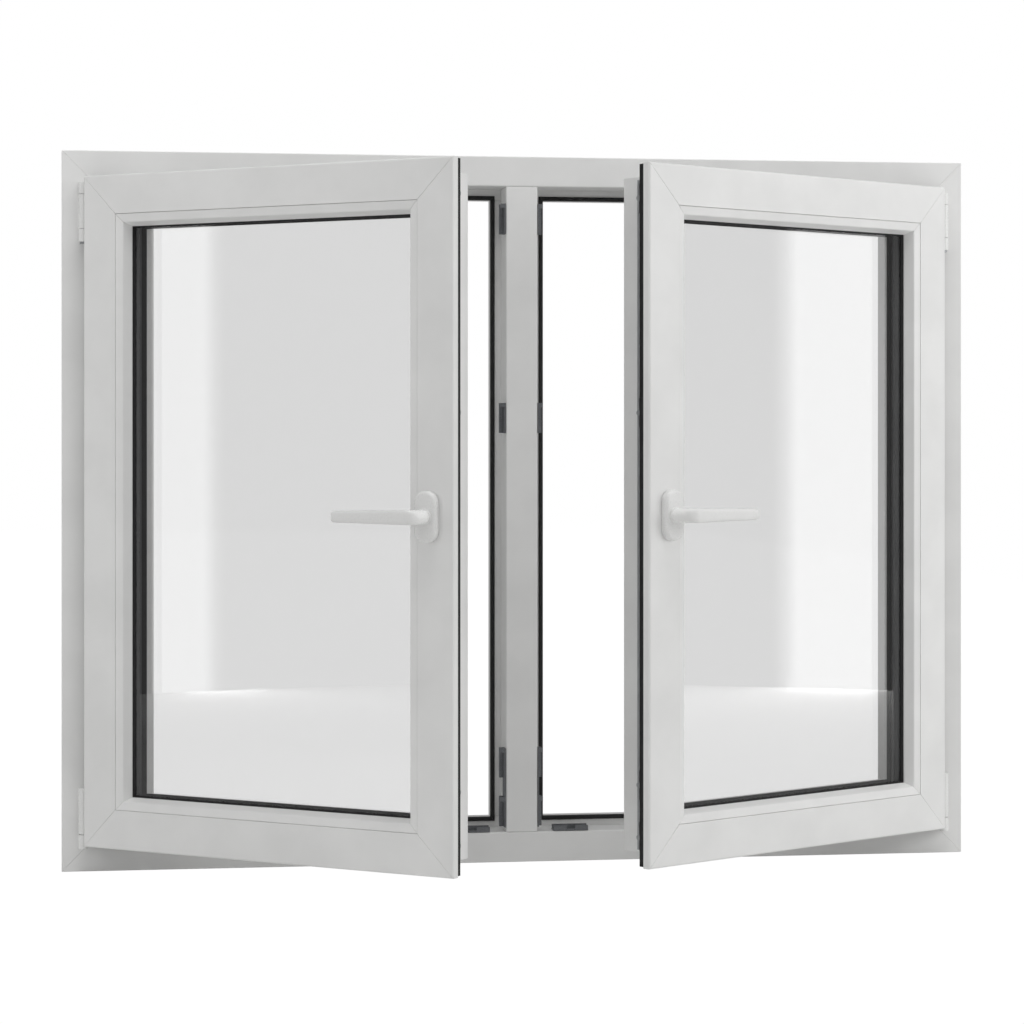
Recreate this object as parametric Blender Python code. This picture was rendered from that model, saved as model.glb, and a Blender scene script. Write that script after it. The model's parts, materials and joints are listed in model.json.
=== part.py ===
"""Double-sash tilt-and-turn casement window in white PVC-u, with a fixed mullion.

Each member, pane, seal and piece of hardware is its own object. Metres, +Z up. X runs along
the width seen from the room, +Y points outdoors, and the origin is the middle of the frame's
underside. A leaf is drawn closed, in leaf coordinates: x from the frame's hinge-side edge
towards the mullion. set_down() carries them to the left or the right, and the two axes that
the leaf hangs on then turn it open.
"""
import math

import bmesh
import bpy
from mathutils import Matrix, Vector

# ---- Outer frame --------------------------------------------------------------------------
WIDTH = 1.290
HEIGHT = 1.000
DEPTH = 0.070
FACE = 0.0425             # room face of the jambs, head and sill
MULLION_FACE = 0.045
STOP_RISE = 0.016         # outdoor stop, past the rebate wall
STOP_DEPTH = 0.017
OUTER_WALL = 0.004        # skin of a hollow profile
STEEL_WALL = 0.002        # reinforcement inside the mullion
SHARP_ROUND = 0.0012      # radius on an extruded corner
SOFT_ROUND = 0.002        # radius on a corner that shows
FRAME_SEAL = 0.0065       # width of the gasket on the stops

# ---- Sash ---------------------------------------------------------------------------------
OVERLAP = 0.005           # sash lip over the frame's room face
AIR_GAP = 0.012           # sash body to rebate wall
SEAL_GAP = 0.0085         # lip to the frame's room face
LIP_DEPTH = 0.0125
STOP_GAP = 0.006          # sash to the outdoor stop, filled by the frame's gasket
FLANGE = 0.0188           # outdoor flange that the glass rests against
RAIL_WIDTH = 0.054        # sash face, from the lip's edge to the glazing rebate
SASH_ROUND = 0.003
SASH_SEAL = 0.0043        # width of the gasket behind the lip
SASH_SEAL_INSET = 0.0017
GROOVE_WIDTH = 0.012      # hardware groove around the sash body
GROOVE_DEPTH = 0.009
GROOVE_SETBACK = 0.0175   # back of the lip to the middle of the groove
LEFT_OPEN = math.radians(37.4)
RIGHT_OPEN = math.radians(32.55)

# ---- Glazing ------------------------------------------------------------------------------
BEAD_WIDTH = 0.017
BEAD_SINK = 0.0006        # bead's front, behind the sash face
BEAD_FALL = 0.002         # how far the front band leans back
BEAD_NOSE = 0.005         # front band's end, before the sight line
GASKET = 0.0032
GASKET_LIP = 0.0022       # gasket past the bead, over the glass
GASKET_BITE = 0.006       # glass edge to the gasket
GASKET_EDGE = 0.0008
PANE = 0.004
CAVITY = 0.016            # between the two panes
GLASS_PLAY = 0.0045       # glass edge to the floor of the glazing rebate
SPACER_HEIGHT = 0.0115

# ---- Hardware -----------------------------------------------------------------------------
PIN_OUTBOARD = 0.008      # hinge axis, outside the lip's edge
PIN_FORWARD = 0.011       # hinge axis, in front of the frame's room face
PIN_RADIUS = 0.003
PIN_HEAD = (0.0045, 0.003)   # radius, and how far it reaches below the lug
PIN_SHORT = 0.003         # pin's end, below the top of the upper lug
SLEEVE_RADIUS = 0.0063
TOP_LUG = 0.016
TOP_SLEEVE = 0.048
LOWER_LUG = 0.018
TOP_HINGE_DROP = 0.008    # sash top edge to the upper lug
BACK_STRIP = (0.0054, 0.0016)   # width and thickness of the plate between the lugs
COLLAR = 0.0152           # fixed cup of the bottom hinge
CUP_WALL = 0.001
CUP_FLOOR = 0.0015
BOTTOM_SLEEVE = 0.063
SLEEVE_GAP = 0.0013       # cup to sleeve, open for the tilt
BALL_RISE = 0.0025        # ball centre above the sash's bottom edge
BALL_RADIUS = 0.0042
STRAP = 0.002             # hinge straps in the gap behind the lip
STRAP_ROOT = 0.0045       # block between a sleeve and its strap
STRAP_INSET = 0.004       # strap's ends, inside the bottom sleeve's
STAY_STRAP = (0.033, 0.002)   # stay strap's ends, below the sleeve's top
STRAP_CLEAR = 0.0025      # stay strap to the sash body
STAY_LENGTH = 0.250
ARM_RISE = 0.0025         # stay arm above the sash body, which lifts 2 mm as it tilts
ARM = 0.0025
HANDLE_SETBACK = 0.038    # lip's free edge to the handle axis
HANDLE_HEIGHT = 0.500
ROSETTE_WIDTH = 0.033
ROSETTE_HEIGHT = 0.067
ROSETTE_DEPTH = 0.010
NECK_RADIUS = 0.0095
LEVER_LENGTH = 0.113
LEVER_STANDOFF = 0.037    # sash face to the back of the grip
LEVER_THICKNESS = 0.011
LEVER_TIP = 0.0072        # radius of the grip's end
SPINDLE = 0.007
MODULE = 0.0016
PINION_TEETH = 12
PINION_WIDTH = 0.008
PINION_TOOTH = (0.85, 0.95)   # addendum and dedendum, in modules
RACK_TEETH = 9
RACK_TOOTH = (0.65, 1.05)
PRESSURE_ANGLE = math.radians(20)
BACKLASH = 0.0003
GEARBOX_HEIGHT = 0.084
PLATE_WIDTH = 0.016       # espagnolette faceplate
PLATE = 0.0027
PLATE_SHORT = 0.004       # faceplate's ends, inside the sash body's
ROD_WIDTH = 0.010
ROD = 0.003
ROD_SETBACK = 0.0025      # rod behind the sash body's edge
CAM_RADIUS = 0.004
CAM_SIDES = 16
CAM_PLAY = 0.0007         # cam to the walls of its channel
KEEP_ENDS = (0.0114, 0.0014)   # keep past the cam's lowest and highest places
KEEP_REAR = 0.0063        # rear wall of the channel
KEEP_BASE = 0.002
KEEP_CLEAR = 0.0012       # keep to the faceplate, and cam to the keep's base
HOOK_HEIGHT = 0.0059
SILL_HOOK = 0.0018
CAM_FROM_TOP = 0.0285     # highest cam below the top of the sash body
CAM_OVER_HANDLE = 0.1345
CAMS_FROM_BOTTOM = (0.090, 0.021)
SILL_CAM_FROM_CORNER = 0.036
SILL_KEEP_PAST = 0.0099   # sill keep past the cam's end places
SILL_GATE = 0.006         # half the opening in the sill keep's hook
BOLT_LENGTH = 0.120

# ---- Fits and fineness --------------------------------------------------------------------
TOUCH = 0.0003            # between pieces that rest on each other
RUN = 0.0005              # between pieces that slide or turn on each other
SHY = 0.0001              # a joined block stays this far inside its neighbour's faces
SUNK = 0.001              # how far a joined block reaches into its neighbour
CUT_PAST = 0.002          # how far a cutter runs past the surface that it opens
WELD = 1e-6
ROUND_STEPS = 3           # facets in a profile's rounded corner
ROUND_SIDES = 20          # facets around a turned piece

# ---- Places that follow from them ---------------------------------------------------------
ROOM_Y = -DEPTH / 2
STOP_Y = DEPTH / 2 - STOP_DEPTH
LIP_X = FACE - OVERLAP
BODY_X = FACE + AIR_GAP
OVERHANG = BODY_X - LIP_X
LIP_END_X = WIDTH / 2 - MULLION_FACE / 2 + OVERLAP
BODY_END_X = LIP_END_X - OVERHANG
WALL_END_X = WIDTH / 2 - MULLION_FACE / 2
LEAF_WIDTH = LIP_END_X - LIP_X
LEAF_HEIGHT = HEIGHT - 2 * LIP_X
LEAF_CENTRE = Vector(((LIP_X + LIP_END_X) / 2, 0, HEIGHT / 2))
LIP_BACK_Y = ROOM_Y - SEAL_GAP
SASH_Y = LIP_BACK_Y - LIP_DEPTH
SASH_BACK_Y = STOP_Y - STOP_GAP
GROOVE_Y = LIP_BACK_Y + GROOVE_SETBACK
FLANGE_Y = SASH_BACK_Y - FLANGE
GLASS_DEPTH = 2 * PANE + CAVITY
GLASS_Y = FLANGE_Y - GASKET - GLASS_DEPTH
BEAD_FOOT_Y = GLASS_Y - GASKET - TOUCH
GLASS_INSET = RAIL_WIDTH + GLASS_PLAY
SIGHT_LINE = RAIL_WIDTH + BEAD_WIDTH
HINGE_X = LIP_X - PIN_OUTBOARD
HINGE_Y = ROOM_Y - PIN_FORWARD
BALL_Z = LIP_X + BALL_RISE
BODY_TOP = HEIGHT - BODY_X
PLATE_X = BODY_END_X + TOUCH
KEEP_RISE = AIR_GAP - 2 * TOUCH - PLATE - KEEP_CLEAR
CAM_REACH = KEEP_RISE - KEEP_BASE
CAM_END_X = PLATE_X + PLATE + CAM_REACH
ROD_X = BODY_END_X - ROD_SETBACK - ROD
HANDLE_X = LIP_END_X - HANDLE_SETBACK
PITCH_RADIUS = MODULE * PINION_TEETH / 2
TRAVEL = PITCH_RADIUS * math.pi / 2
CAM_HEIGHTS = (BODY_TOP - CAM_FROM_TOP, HANDLE_HEIGHT + CAM_OVER_HANDLE,
               BODY_X + CAMS_FROM_BOTTOM[0], BODY_X + CAMS_FROM_BOTTOM[1])
SILL_CAM_X = BODY_END_X - SILL_CAM_FROM_CORNER
KEEP_Y = ROOM_Y + TOUCH
CHANNEL_Y = (GROOVE_Y - CAM_RADIUS - CAM_PLAY, GROOVE_Y + CAM_RADIUS + CAM_PLAY)
KEEP_BACK_Y = CHANNEL_Y[1] + KEEP_REAR
STRAP_X = HINGE_X + TOUCH
STRAP_Y = (ROOM_Y - TOUCH - STRAP, ROOM_Y - TOUCH)
STRAP_END_X = BODY_X - STRAP_CLEAR
ARM_Z = BODY_TOP + ARM_RISE
SLEEVE_TOP = HEIGHT - LIP_X - TOP_HINGE_DROP - TOP_LUG


# ---- Scene and materials ------------------------------------------------------------------
for item in list(bpy.data.objects):
    bpy.data.objects.remove(item, do_unlink=True)


def collection(name):
    """A collection linked to the scene."""
    made = bpy.data.collections.new(name)
    bpy.context.scene.collection.children.link(made)
    return made


PARTS = collection("tilt_and_turn_window")
CUTTERS = collection("cutters")


def material(name, red, green, blue, roughness, metallic=0.0, clear=0.0):
    """A Principled material of one finish."""
    made = bpy.data.materials.new(name)
    made.use_nodes = True
    shader = made.node_tree.nodes["Principled BSDF"]
    shader.inputs["Base Color"].default_value = (red, green, blue, 1)
    shader.inputs["Roughness"].default_value = roughness
    shader.inputs["Metallic"].default_value = metallic
    shader.inputs["Transmission Weight"].default_value = clear
    return made


PVC = material("white_pvc", 0.86, 0.86, 0.87, 0.28)
RUBBER = material("black_epdm", 0.012, 0.012, 0.013, 0.60)
GLASS = material("float_glass", 0.90, 0.93, 0.92, 0.02, clear=1.0)
SPACER_BAR = material("dark_spacer", 0.05, 0.05, 0.055, 0.45)
ZINC = material("zinc_plated_steel", 0.52, 0.53, 0.54, 0.35, metallic=1.0)
CAST = material("grey_zinc_casting", 0.38, 0.39, 0.40, 0.45, metallic=0.7)
ENAMEL = material("white_enamel", 0.88, 0.88, 0.88, 0.24)


# ---- Sides and axes -----------------------------------------------------------------------
class Side:
    """One leaf: its name, its hand (-1 left, +1 right) and how far it stands open."""

    def __init__(self, name, hand, opening):
        self.name = name
        self.hand = hand
        self.opening = opening

    def world(self, x, y, z):
        """Leaf coordinates to window coordinates."""
        return Vector((self.hand * (WIDTH / 2 - x), y, z))


def pivot(name, place, parent=None):
    """An empty on a joint's axis. It remembers its place with the leaf closed."""
    empty = bpy.data.objects.new(name, None)
    empty.empty_display_size = 0.03
    empty["closed"] = place
    empty.location = place - (Vector(parent["closed"]) if parent else Vector())
    empty.parent = parent
    PARTS.objects.link(empty)
    return empty


# ---- Shapes -------------------------------------------------------------------------------
def rounded(corners):
    """A closed outline from (a, b, radius) corners, each arc in ROUND_STEPS facets."""
    outline = []
    for index, (a, b, radius) in enumerate(corners):
        here = Vector((a, b))
        if radius == 0:
            outline.append(here)
            continue
        before = (Vector(corners[index - 1][:2]) - here).normalized()
        after = (Vector(corners[(index + 1) % len(corners)][:2]) - here).normalized()
        half = before.angle(after) / 2
        centre = here + (before + after).normalized() * radius / math.sin(half)
        start = (here + before * radius / math.tan(half) - centre).normalized()
        end = (here + after * radius / math.tan(half) - centre).normalized()
        for step in range(ROUND_STEPS + 1):
            outline.append(centre + start.slerp(end, step / ROUND_STEPS) * radius)
    return outline


def rectangle(a0, a1, b0, b1):
    """A square-cornered outline."""
    return [Vector((a0, b0)), Vector((a1, b0)), Vector((a1, b1)), Vector((a0, b1))]


def prism(outlines, length):
    """A mesh whose section in XY is the outlines, holes included, centred on Z."""
    curve = bpy.data.curves.new("section", "CURVE")
    curve.dimensions = "2D"
    curve.fill_mode = "BOTH"
    curve.extrude = length / 2
    for outline in outlines:
        spline = curve.splines.new("POLY")
        spline.points.add(len(outline) - 1)
        for point, (a, b) in zip(spline.points, outline):
            point.co = (a, b, 0, 1)
        spline.use_cyclic_u = True
    draft = bpy.data.objects.new("section", curve)
    PARTS.objects.link(draft)
    graph = bpy.context.evaluated_depsgraph_get()
    mesh = bpy.data.meshes.new_from_object(draft.evaluated_get(graph))
    bpy.data.objects.remove(draft, do_unlink=True)
    welded = bmesh.new()
    welded.from_mesh(mesh)
    bpy.data.meshes.remove(mesh)
    bmesh.ops.remove_doubles(welded, verts=welded.verts, dist=WELD)
    return meshed(welded)


def laid(mesh, section_a, section_b, along, place=(0, 0, 0)):
    """Turns a prism: its section's two axes and its length point along the given axes."""
    turn = Matrix((section_a, section_b, along)).transposed()
    mesh.transform(Matrix.Translation(place) @ turn.to_4x4())
    if turn.determinant() < 0:
        mesh.flip_normals()
    return mesh


X, Y, Z = (1, 0, 0), (0, 1, 0), (0, 0, 1)
BACK_X, BACK_Z = (-1, 0, 0), (0, 0, -1)


def box(x0, x1, y0, y1, z0, z1):
    """A block between two corners."""
    size = Vector((x1 - x0, y1 - y0, z1 - z0))
    middle = Vector((x0 + x1, y0 + y1, z0 + z1)) / 2
    place = Matrix.Translation(middle) @ Matrix.Diagonal(size).to_4x4()
    shape = bmesh.new()
    bmesh.ops.create_cube(shape, size=1, matrix=place)
    return meshed(shape)


def cylinder(radius, start, end, sides=ROUND_SIDES):
    """A rod between two points."""
    start, end = Vector(start), Vector(end)
    turn = Vector(Z).rotation_difference(end - start).to_matrix().to_4x4()
    shape = bmesh.new()
    bmesh.ops.create_cone(shape, cap_ends=True, segments=sides, radius1=radius, radius2=radius,
                          depth=(end - start).length,
                          matrix=Matrix.Translation((start + end) / 2) @ turn)
    return meshed(shape)


def meshed(shape):
    """A mesh from a bmesh, with its faces pointing out."""
    bmesh.ops.recalc_face_normals(shape, faces=shape.faces)
    mesh = bpy.data.meshes.new("shape")
    shape.to_mesh(mesh)
    shape.free()
    return mesh


def mitred_ring(profile, width, height, centre):
    """A four-sided ring with mitred corners.

    The profile's points are (inset from the ring's outer edge, y). A four-step spin makes it
    a square frame, whose corners are then moved apart to the given width and height.
    """
    reach = 2 * max(inset for inset, _ in profile)
    shape = bmesh.new()
    ends = [shape.verts.new((reach - inset, y, reach - inset)) for inset, y in profile]
    sides = [shape.edges.new(pair) for pair in zip(ends, ends[1:] + ends[:1])]
    bmesh.ops.spin(shape, geom=ends + sides, cent=(0, 0, 0), axis=(0, 1, 0),
                   angle=math.tau, steps=4, use_merge=True)
    bmesh.ops.remove_doubles(shape, verts=shape.verts, dist=WELD)
    for vert in shape.verts:
        vert.co.x += math.copysign(width / 2 - reach, vert.co.x) + centre.x
        vert.co.z += math.copysign(height / 2 - reach, vert.co.z) + centre.z
    return meshed(shape)


def mitre(mesh, length):
    """Cuts both ends of a member at 45 degrees.

    Each point of an end draws in by its distance from the member's outer edge.
    """
    for vert in mesh.vertices:
        vert.co.z = math.copysign(length / 2 - vert.co.x - TOUCH / 2, vert.co.z)
    return mesh


# ---- Pieces -------------------------------------------------------------------------------
def set_down(mesh, side):
    """Carries a mesh from leaf coordinates to window coordinates."""
    if side:
        edge = Matrix.Translation((side.hand * WIDTH / 2, 0, 0))
        mesh.transform(edge @ Matrix.Diagonal((-side.hand, 1, 1, 1)))
        if side.hand > 0:
            mesh.flip_normals()
    return mesh


def piece(name, mesh, finish, side=None, axis=None, smooth=False):
    """A named part, hung on its axis and placed as it stands with the leaf closed."""
    mesh = set_down(mesh, side)
    mesh.name = name
    mesh.materials.append(finish)
    if smooth:
        mesh.shade_smooth()
        mesh.set_sharp_from_angle(angle=math.radians(40))
    made = bpy.data.objects.new(f"{side.name}_{name}" if side else name, mesh)
    PARTS.objects.link(made)
    if axis:
        made.parent = axis
        made.location = -Vector(axis["closed"])
    return made


def combine(target, operation, mesh, side):
    """One Boolean step on a part, with a tool that hangs on the part itself."""
    tool = bpy.data.objects.new(f"{target.name}_tool", set_down(mesh, side))
    tool.hide_render = True
    tool.display_type = "WIRE"
    tool.parent = target
    CUTTERS.objects.link(tool)
    step = target.modifiers.new(operation.title(), "BOOLEAN")
    step.operation = operation
    step.object = tool


def add(target, mesh, side=None):
    """Joins another solid to a part."""
    combine(target, "UNION", mesh, side)


def cut(target, mesh, side=None):
    """Cuts a solid out of a part."""
    combine(target, "DIFFERENCE", mesh, side)


# ---- Outer frame --------------------------------------------------------------------------
def frame_section():
    """Section of a jamb, head or sill: (distance from the outer edge, y)."""
    stop = FACE + STOP_RISE
    skin = OUTER_WALL
    outline = rounded([(0, ROOM_Y, SHARP_ROUND), (FACE, ROOM_Y, SOFT_ROUND), (FACE, STOP_Y, 0),
                       (stop, STOP_Y, SHARP_ROUND), (stop, DEPTH / 2, SOFT_ROUND),
                       (0, DEPTH / 2, SHARP_ROUND)])
    main = rectangle(skin, FACE - skin, ROOM_Y + skin, STOP_Y - skin)
    outdoor = rectangle(skin, stop - skin, STOP_Y + skin / 2, DEPTH / 2 - skin)
    return [outline, main, outdoor]


def build_frame():
    """Four mitred hollow members and the mullion with its steel."""
    for name, length, inwards, along, place in (
            ("frame_jamb_left", HEIGHT, X, Z, (-WIDTH / 2, 0, HEIGHT / 2)),
            ("frame_jamb_right", HEIGHT, BACK_X, Z, (WIDTH / 2, 0, HEIGHT / 2)),
            ("frame_head", WIDTH, BACK_Z, X, (0, 0, HEIGHT)),
            ("frame_sill", WIDTH, Z, X, (0, 0, 0))):
        member = mitre(prism(frame_section(), length), length)
        piece(name, laid(member, inwards, Y, along, place), PVC)
    build_mullion()


def build_mullion():
    """A T-shaped hollow post, coped over the stops of the head and the sill."""
    half = MULLION_FACE / 2
    stop = half + STOP_RISE
    skin = OUTER_WALL
    outline = rounded([(-half, ROOM_Y, SOFT_ROUND), (half, ROOM_Y, SOFT_ROUND), (half, STOP_Y, 0),
                       (stop, STOP_Y, SHARP_ROUND), (stop, DEPTH / 2, SOFT_ROUND),
                       (-stop, DEPTH / 2, SOFT_ROUND), (-stop, STOP_Y, SHARP_ROUND), (-half, STOP_Y, 0)])
    main = rectangle(skin - half, half - skin, ROOM_Y + skin, STOP_Y - skin)
    outdoor = rectangle(skin - stop, stop - skin, STOP_Y + skin / 2, DEPTH / 2 - skin)
    length = HEIGHT - 2 * FACE - 2 * TOUCH
    middle = (0, 0, HEIGHT / 2)
    post = piece("mullion", laid(prism([outline, main, outdoor], length), X, Y, Z, middle), PVC)
    reach = FACE + STOP_RISE + TOUCH
    for low, high in ((0, reach), (HEIGHT - reach, HEIGHT)):
        cut(post, box(-stop - CUT_PAST, stop + CUT_PAST, STOP_Y - TOUCH, DEPTH / 2 + CUT_PAST, low, high))
    outer = skin + TOUCH + RUN
    inner = outer + STEEL_WALL
    tube = [rectangle(wall - half, half - wall, ROOM_Y + wall, STOP_Y - wall) for wall in (outer, inner)]
    bar = laid(prism(tube, length - 2 * skin), X, Y, Z, middle)
    piece("mullion_reinforcement", bar, ZINC)


def build_frame_seal(side):
    """Black gasket on the room side of the stops, around one opening."""
    front, back = SASH_BACK_Y + TOUCH, STOP_Y - TOUCH
    inner = STOP_RISE
    outer = STOP_RISE - FRAME_SEAL
    profile = [(outer, back), (outer, front), (inner - SHARP_ROUND, front), (inner, back)]
    width = WALL_END_X - FACE
    height = HEIGHT - 2 * FACE
    centre = Vector((FACE + width / 2, 0, HEIGHT / 2))
    piece("frame_seal", mitred_ring(profile, width, height, centre), RUBBER, side)


# ---- Sash ---------------------------------------------------------------------------------
def sash_section():
    """Section of a sash member: (distance from the lip's edge, y)."""
    groove_in = GROOVE_Y - GROOVE_WIDTH / 2
    groove_out = GROOVE_Y + GROOVE_WIDTH / 2
    floor = OVERHANG + GROOVE_DEPTH
    outline = rounded([(0, SASH_Y, SASH_ROUND), (RAIL_WIDTH, SASH_Y, BEAD_SINK), (RAIL_WIDTH, FLANGE_Y, 0),
                       (SIGHT_LINE, FLANGE_Y, SHARP_ROUND), (SIGHT_LINE, SASH_BACK_Y, SASH_ROUND),
                       (OVERHANG, SASH_BACK_Y, SOFT_ROUND), (OVERHANG, groove_out, TOUCH),
                       (floor, groove_out, 0), (floor, groove_in, 0), (OVERHANG, groove_in, TOUCH),
                       (OVERHANG, LIP_BACK_Y, 0), (0, LIP_BACK_Y, SHARP_ROUND)])
    skin = OUTER_WALL
    main = rectangle(floor + skin, RAIL_WIDTH - skin, SASH_Y + skin, groove_out + skin)
    outside = rectangle(OVERHANG + skin, SIGHT_LINE - skin,
                        max(groove_out, FLANGE_Y) + 2 * skin, SASH_BACK_Y - skin)
    return [outline, main, outside]


def build_sash(side, axis):
    """Two stiles and two rails, mitred, with the lock stile cut for the gearbox."""
    middle = LEAF_CENTRE
    members = {}
    for name, length, inwards, along, place in (
            ("hinge_stile", LEAF_HEIGHT, X, Z, (LIP_X, 0, middle.z)),
            ("lock_stile", LEAF_HEIGHT, BACK_X, Z, (LIP_END_X, 0, middle.z)),
            ("top_rail", LEAF_WIDTH, BACK_Z, X, (middle.x, 0, HEIGHT - LIP_X)),
            ("bottom_rail", LEAF_WIDTH, Z, X, (middle.x, 0, LIP_X))):
        member = mitre(prism(sash_section(), length), length)
        members[name] = piece(name, laid(member, inwards, Y, along, place), PVC, side, axis)
    stile = members["lock_stile"]
    case = gearbox_box(TOUCH + RUN)
    cut(stile, box(case[0], BODY_END_X + CUT_PAST, *case[2:]), side)
    spindle_hole = cylinder(SPINDLE + RUN, (HANDLE_X, SASH_Y - CUT_PAST, HANDLE_HEIGHT),
                            (HANDLE_X, GROOVE_Y, HANDLE_HEIGHT))
    cut(stile, spindle_hole, side)


def strap_pockets(side, seal):
    """Thins the sash seal where the hinge straps cross it."""
    bottom = LIP_X + COLLAR
    for low, high in ((SLEEVE_TOP - TOP_SLEEVE, ARM_Z + ARM), (bottom, bottom + BOTTOM_SLEEVE)):
        cut(seal, box(LIP_X - CUT_PAST, BODY_X + CUT_PAST, STRAP_Y[0] - TOUCH, ROOM_Y + CUT_PAST,
                      low - STRAP, high + 2 * STRAP), side)


def build_seals_and_glazing(side, axis):
    """Sash seal, bead, gaskets, spacer and the two panes of the sealed unit."""
    size = (LEAF_WIDTH, LEAF_HEIGHT, LEAF_CENTRE)
    front, back = LIP_BACK_Y + TOUCH, ROOM_Y - TOUCH
    far = SASH_SEAL_INSET + SASH_SEAL
    lip = [(SASH_SEAL_INSET, front), (far, front), (far - SUNK, back), (SASH_SEAL_INSET, back)]
    seal = piece("sash_seal", mitred_ring(lip, *size), RUBBER, side, axis)
    strap_pockets(side, seal)

    start = RAIL_WIDTH + TOUCH
    band = SASH_Y + BEAD_SINK
    corners = [(start, band, GASKET_EDGE), (SIGHT_LINE - BEAD_NOSE, band + BEAD_FALL, SASH_ROUND),
               (SIGHT_LINE, BEAD_FOOT_Y - BEAD_FALL, 0), (SIGHT_LINE - GASKET_EDGE, BEAD_FOOT_Y, 0),
               (start, BEAD_FOOT_Y, 0)]
    bead = [tuple(point) for point in rounded(corners)]
    piece("glazing_bead", mitred_ring(bead, *size), PVC, side, axis)

    outer, inner = GLASS_INSET + GASKET_BITE, SIGHT_LINE + GASKET_LIP
    for name, clamped, glass in (("inner", BEAD_FOOT_Y + TOUCH, GLASS_Y - TOUCH),
                                 ("outer", FLANGE_Y - TOUCH, GLASS_Y + GLASS_DEPTH + TOUCH)):
        edge = math.copysign(GASKET_EDGE, clamped - glass)
        gasket = [(outer, clamped), (SIGHT_LINE - GASKET_EDGE, clamped), (inner, glass + edge),
                  (inner, glass), (outer, glass)]
        piece(f"{name}_glazing_gasket", mitred_ring(gasket, *size), RUBBER, side, axis)

    x0, x1 = LIP_X + GLASS_INSET, LIP_END_X - GLASS_INSET
    z0, z1 = LIP_X + GLASS_INSET, HEIGHT - LIP_X - GLASS_INSET
    for name, y in (("inner_pane", GLASS_Y), ("outer_pane", GLASS_Y + PANE + CAVITY)):
        piece(name, box(x0, x1, y, y + PANE, z0, z1), GLASS, side, axis)
    front, back = GLASS_Y + PANE + TOUCH, GLASS_Y + PANE + CAVITY - TOUCH
    outer, inner = GLASS_INSET + TOUCH, GLASS_INSET + SPACER_HEIGHT
    bar = [(outer, front), (inner, front), (inner, back), (outer, back)]
    piece("glass_spacer", mitred_ring(bar, *size), SPACER_BAR, side, axis)


# ---- Hinges -------------------------------------------------------------------------------
def on_pin(radius, low, high, sides=ROUND_SIDES):
    """A round piece on the hinge axis."""
    return cylinder(radius, (HINGE_X, HINGE_Y, low), (HINGE_X, HINGE_Y, high), sides)


def d_lug(low, high):
    """A lug with a round front and a flat back that stands on the frame's room face."""
    half = SLEEVE_RADIUS
    facets = ROUND_SIDES // 2
    turns = (math.pi + math.pi * step / facets for step in range(facets + 1))
    arc = [Vector((half * math.cos(turn), half * math.sin(turn))) for turn in turns]
    back = PIN_FORWARD - TOUCH
    outline = arc + [Vector((half, back)), Vector((-half, back))]
    return laid(prism([outline], high - low), X, Y, Z, (HINGE_X, HINGE_Y, (low + high) / 2))


def build_top_hinge(side, swing_axis, stay_axis):
    """Bearing with two lugs, the pin that holds the leaf, and the stay arm's sleeve between them."""
    low = SLEEVE_TOP - TOP_SLEEVE
    lug_low = low - LOWER_LUG
    lug_top = SLEEVE_TOP + TOP_LUG
    bearing = piece("top_hinge_bearing", d_lug(SLEEVE_TOP + TOUCH, lug_top), ENAMEL, side)
    add(bearing, d_lug(lug_low, low - TOUCH), side)
    strip_x = HINGE_X - SLEEVE_RADIUS + 2 * SHY
    strip_y = ROOM_Y - TOUCH - 2 * SHY
    width, thick = BACK_STRIP
    add(bearing, box(strip_x, strip_x + width, strip_y - thick, strip_y,
                     lug_low + SUNK, lug_top - SUNK), side)
    bore = PIN_RADIUS + TOUCH
    pin_top = lug_top - PIN_SHORT
    cut(bearing, on_pin(bore, lug_low - CUT_PAST, pin_top + TOUCH), side)

    head_radius, head_reach = PIN_HEAD
    pin = on_pin(PIN_RADIUS, lug_low - SUNK, pin_top)
    pin = piece("top_hinge_pin", pin, ZINC, side, swing_axis, smooth=True)
    add(pin, on_pin(head_radius, lug_low - head_reach, lug_low - TOUCH), side)

    arm = piece("stay_arm", on_pin(SLEEVE_RADIUS, low + TOUCH, SLEEVE_TOP - TOUCH), ENAMEL, side, stay_axis)
    strap_low, strap_high = (SLEEVE_TOP - drop for drop in STAY_STRAP)
    add(arm, box(STRAP_X, STRAP_X + STRAP_ROOT, HINGE_Y + PIN_RADIUS, STRAP_Y[1] - SHY,
                 strap_low + SUNK, strap_high + SUNK), side)
    add(arm, box(STRAP_X + 2 * SHY, STRAP_END_X, *STRAP_Y, strap_low, strap_high), side)
    add(arm, box(HINGE_X + SLEEVE_RADIUS + SUNK, STRAP_END_X - 2 * SHY, STRAP_Y[0] + SHY, STRAP_Y[1] - SHY,
                 strap_low + 2 * SUNK, ARM_Z + ARM - 2 * SHY), side)
    add(arm, box(STRAP_END_X - STRAP_ROOT, HINGE_X + STAY_LENGTH, STRAP_Y[0] - 2 * SHY, GROOVE_Y,
                 ARM_Z, ARM_Z + ARM), side)
    cut(arm, on_pin(bore, low - CUT_PAST, SLEEVE_TOP + CUT_PAST), side)


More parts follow.
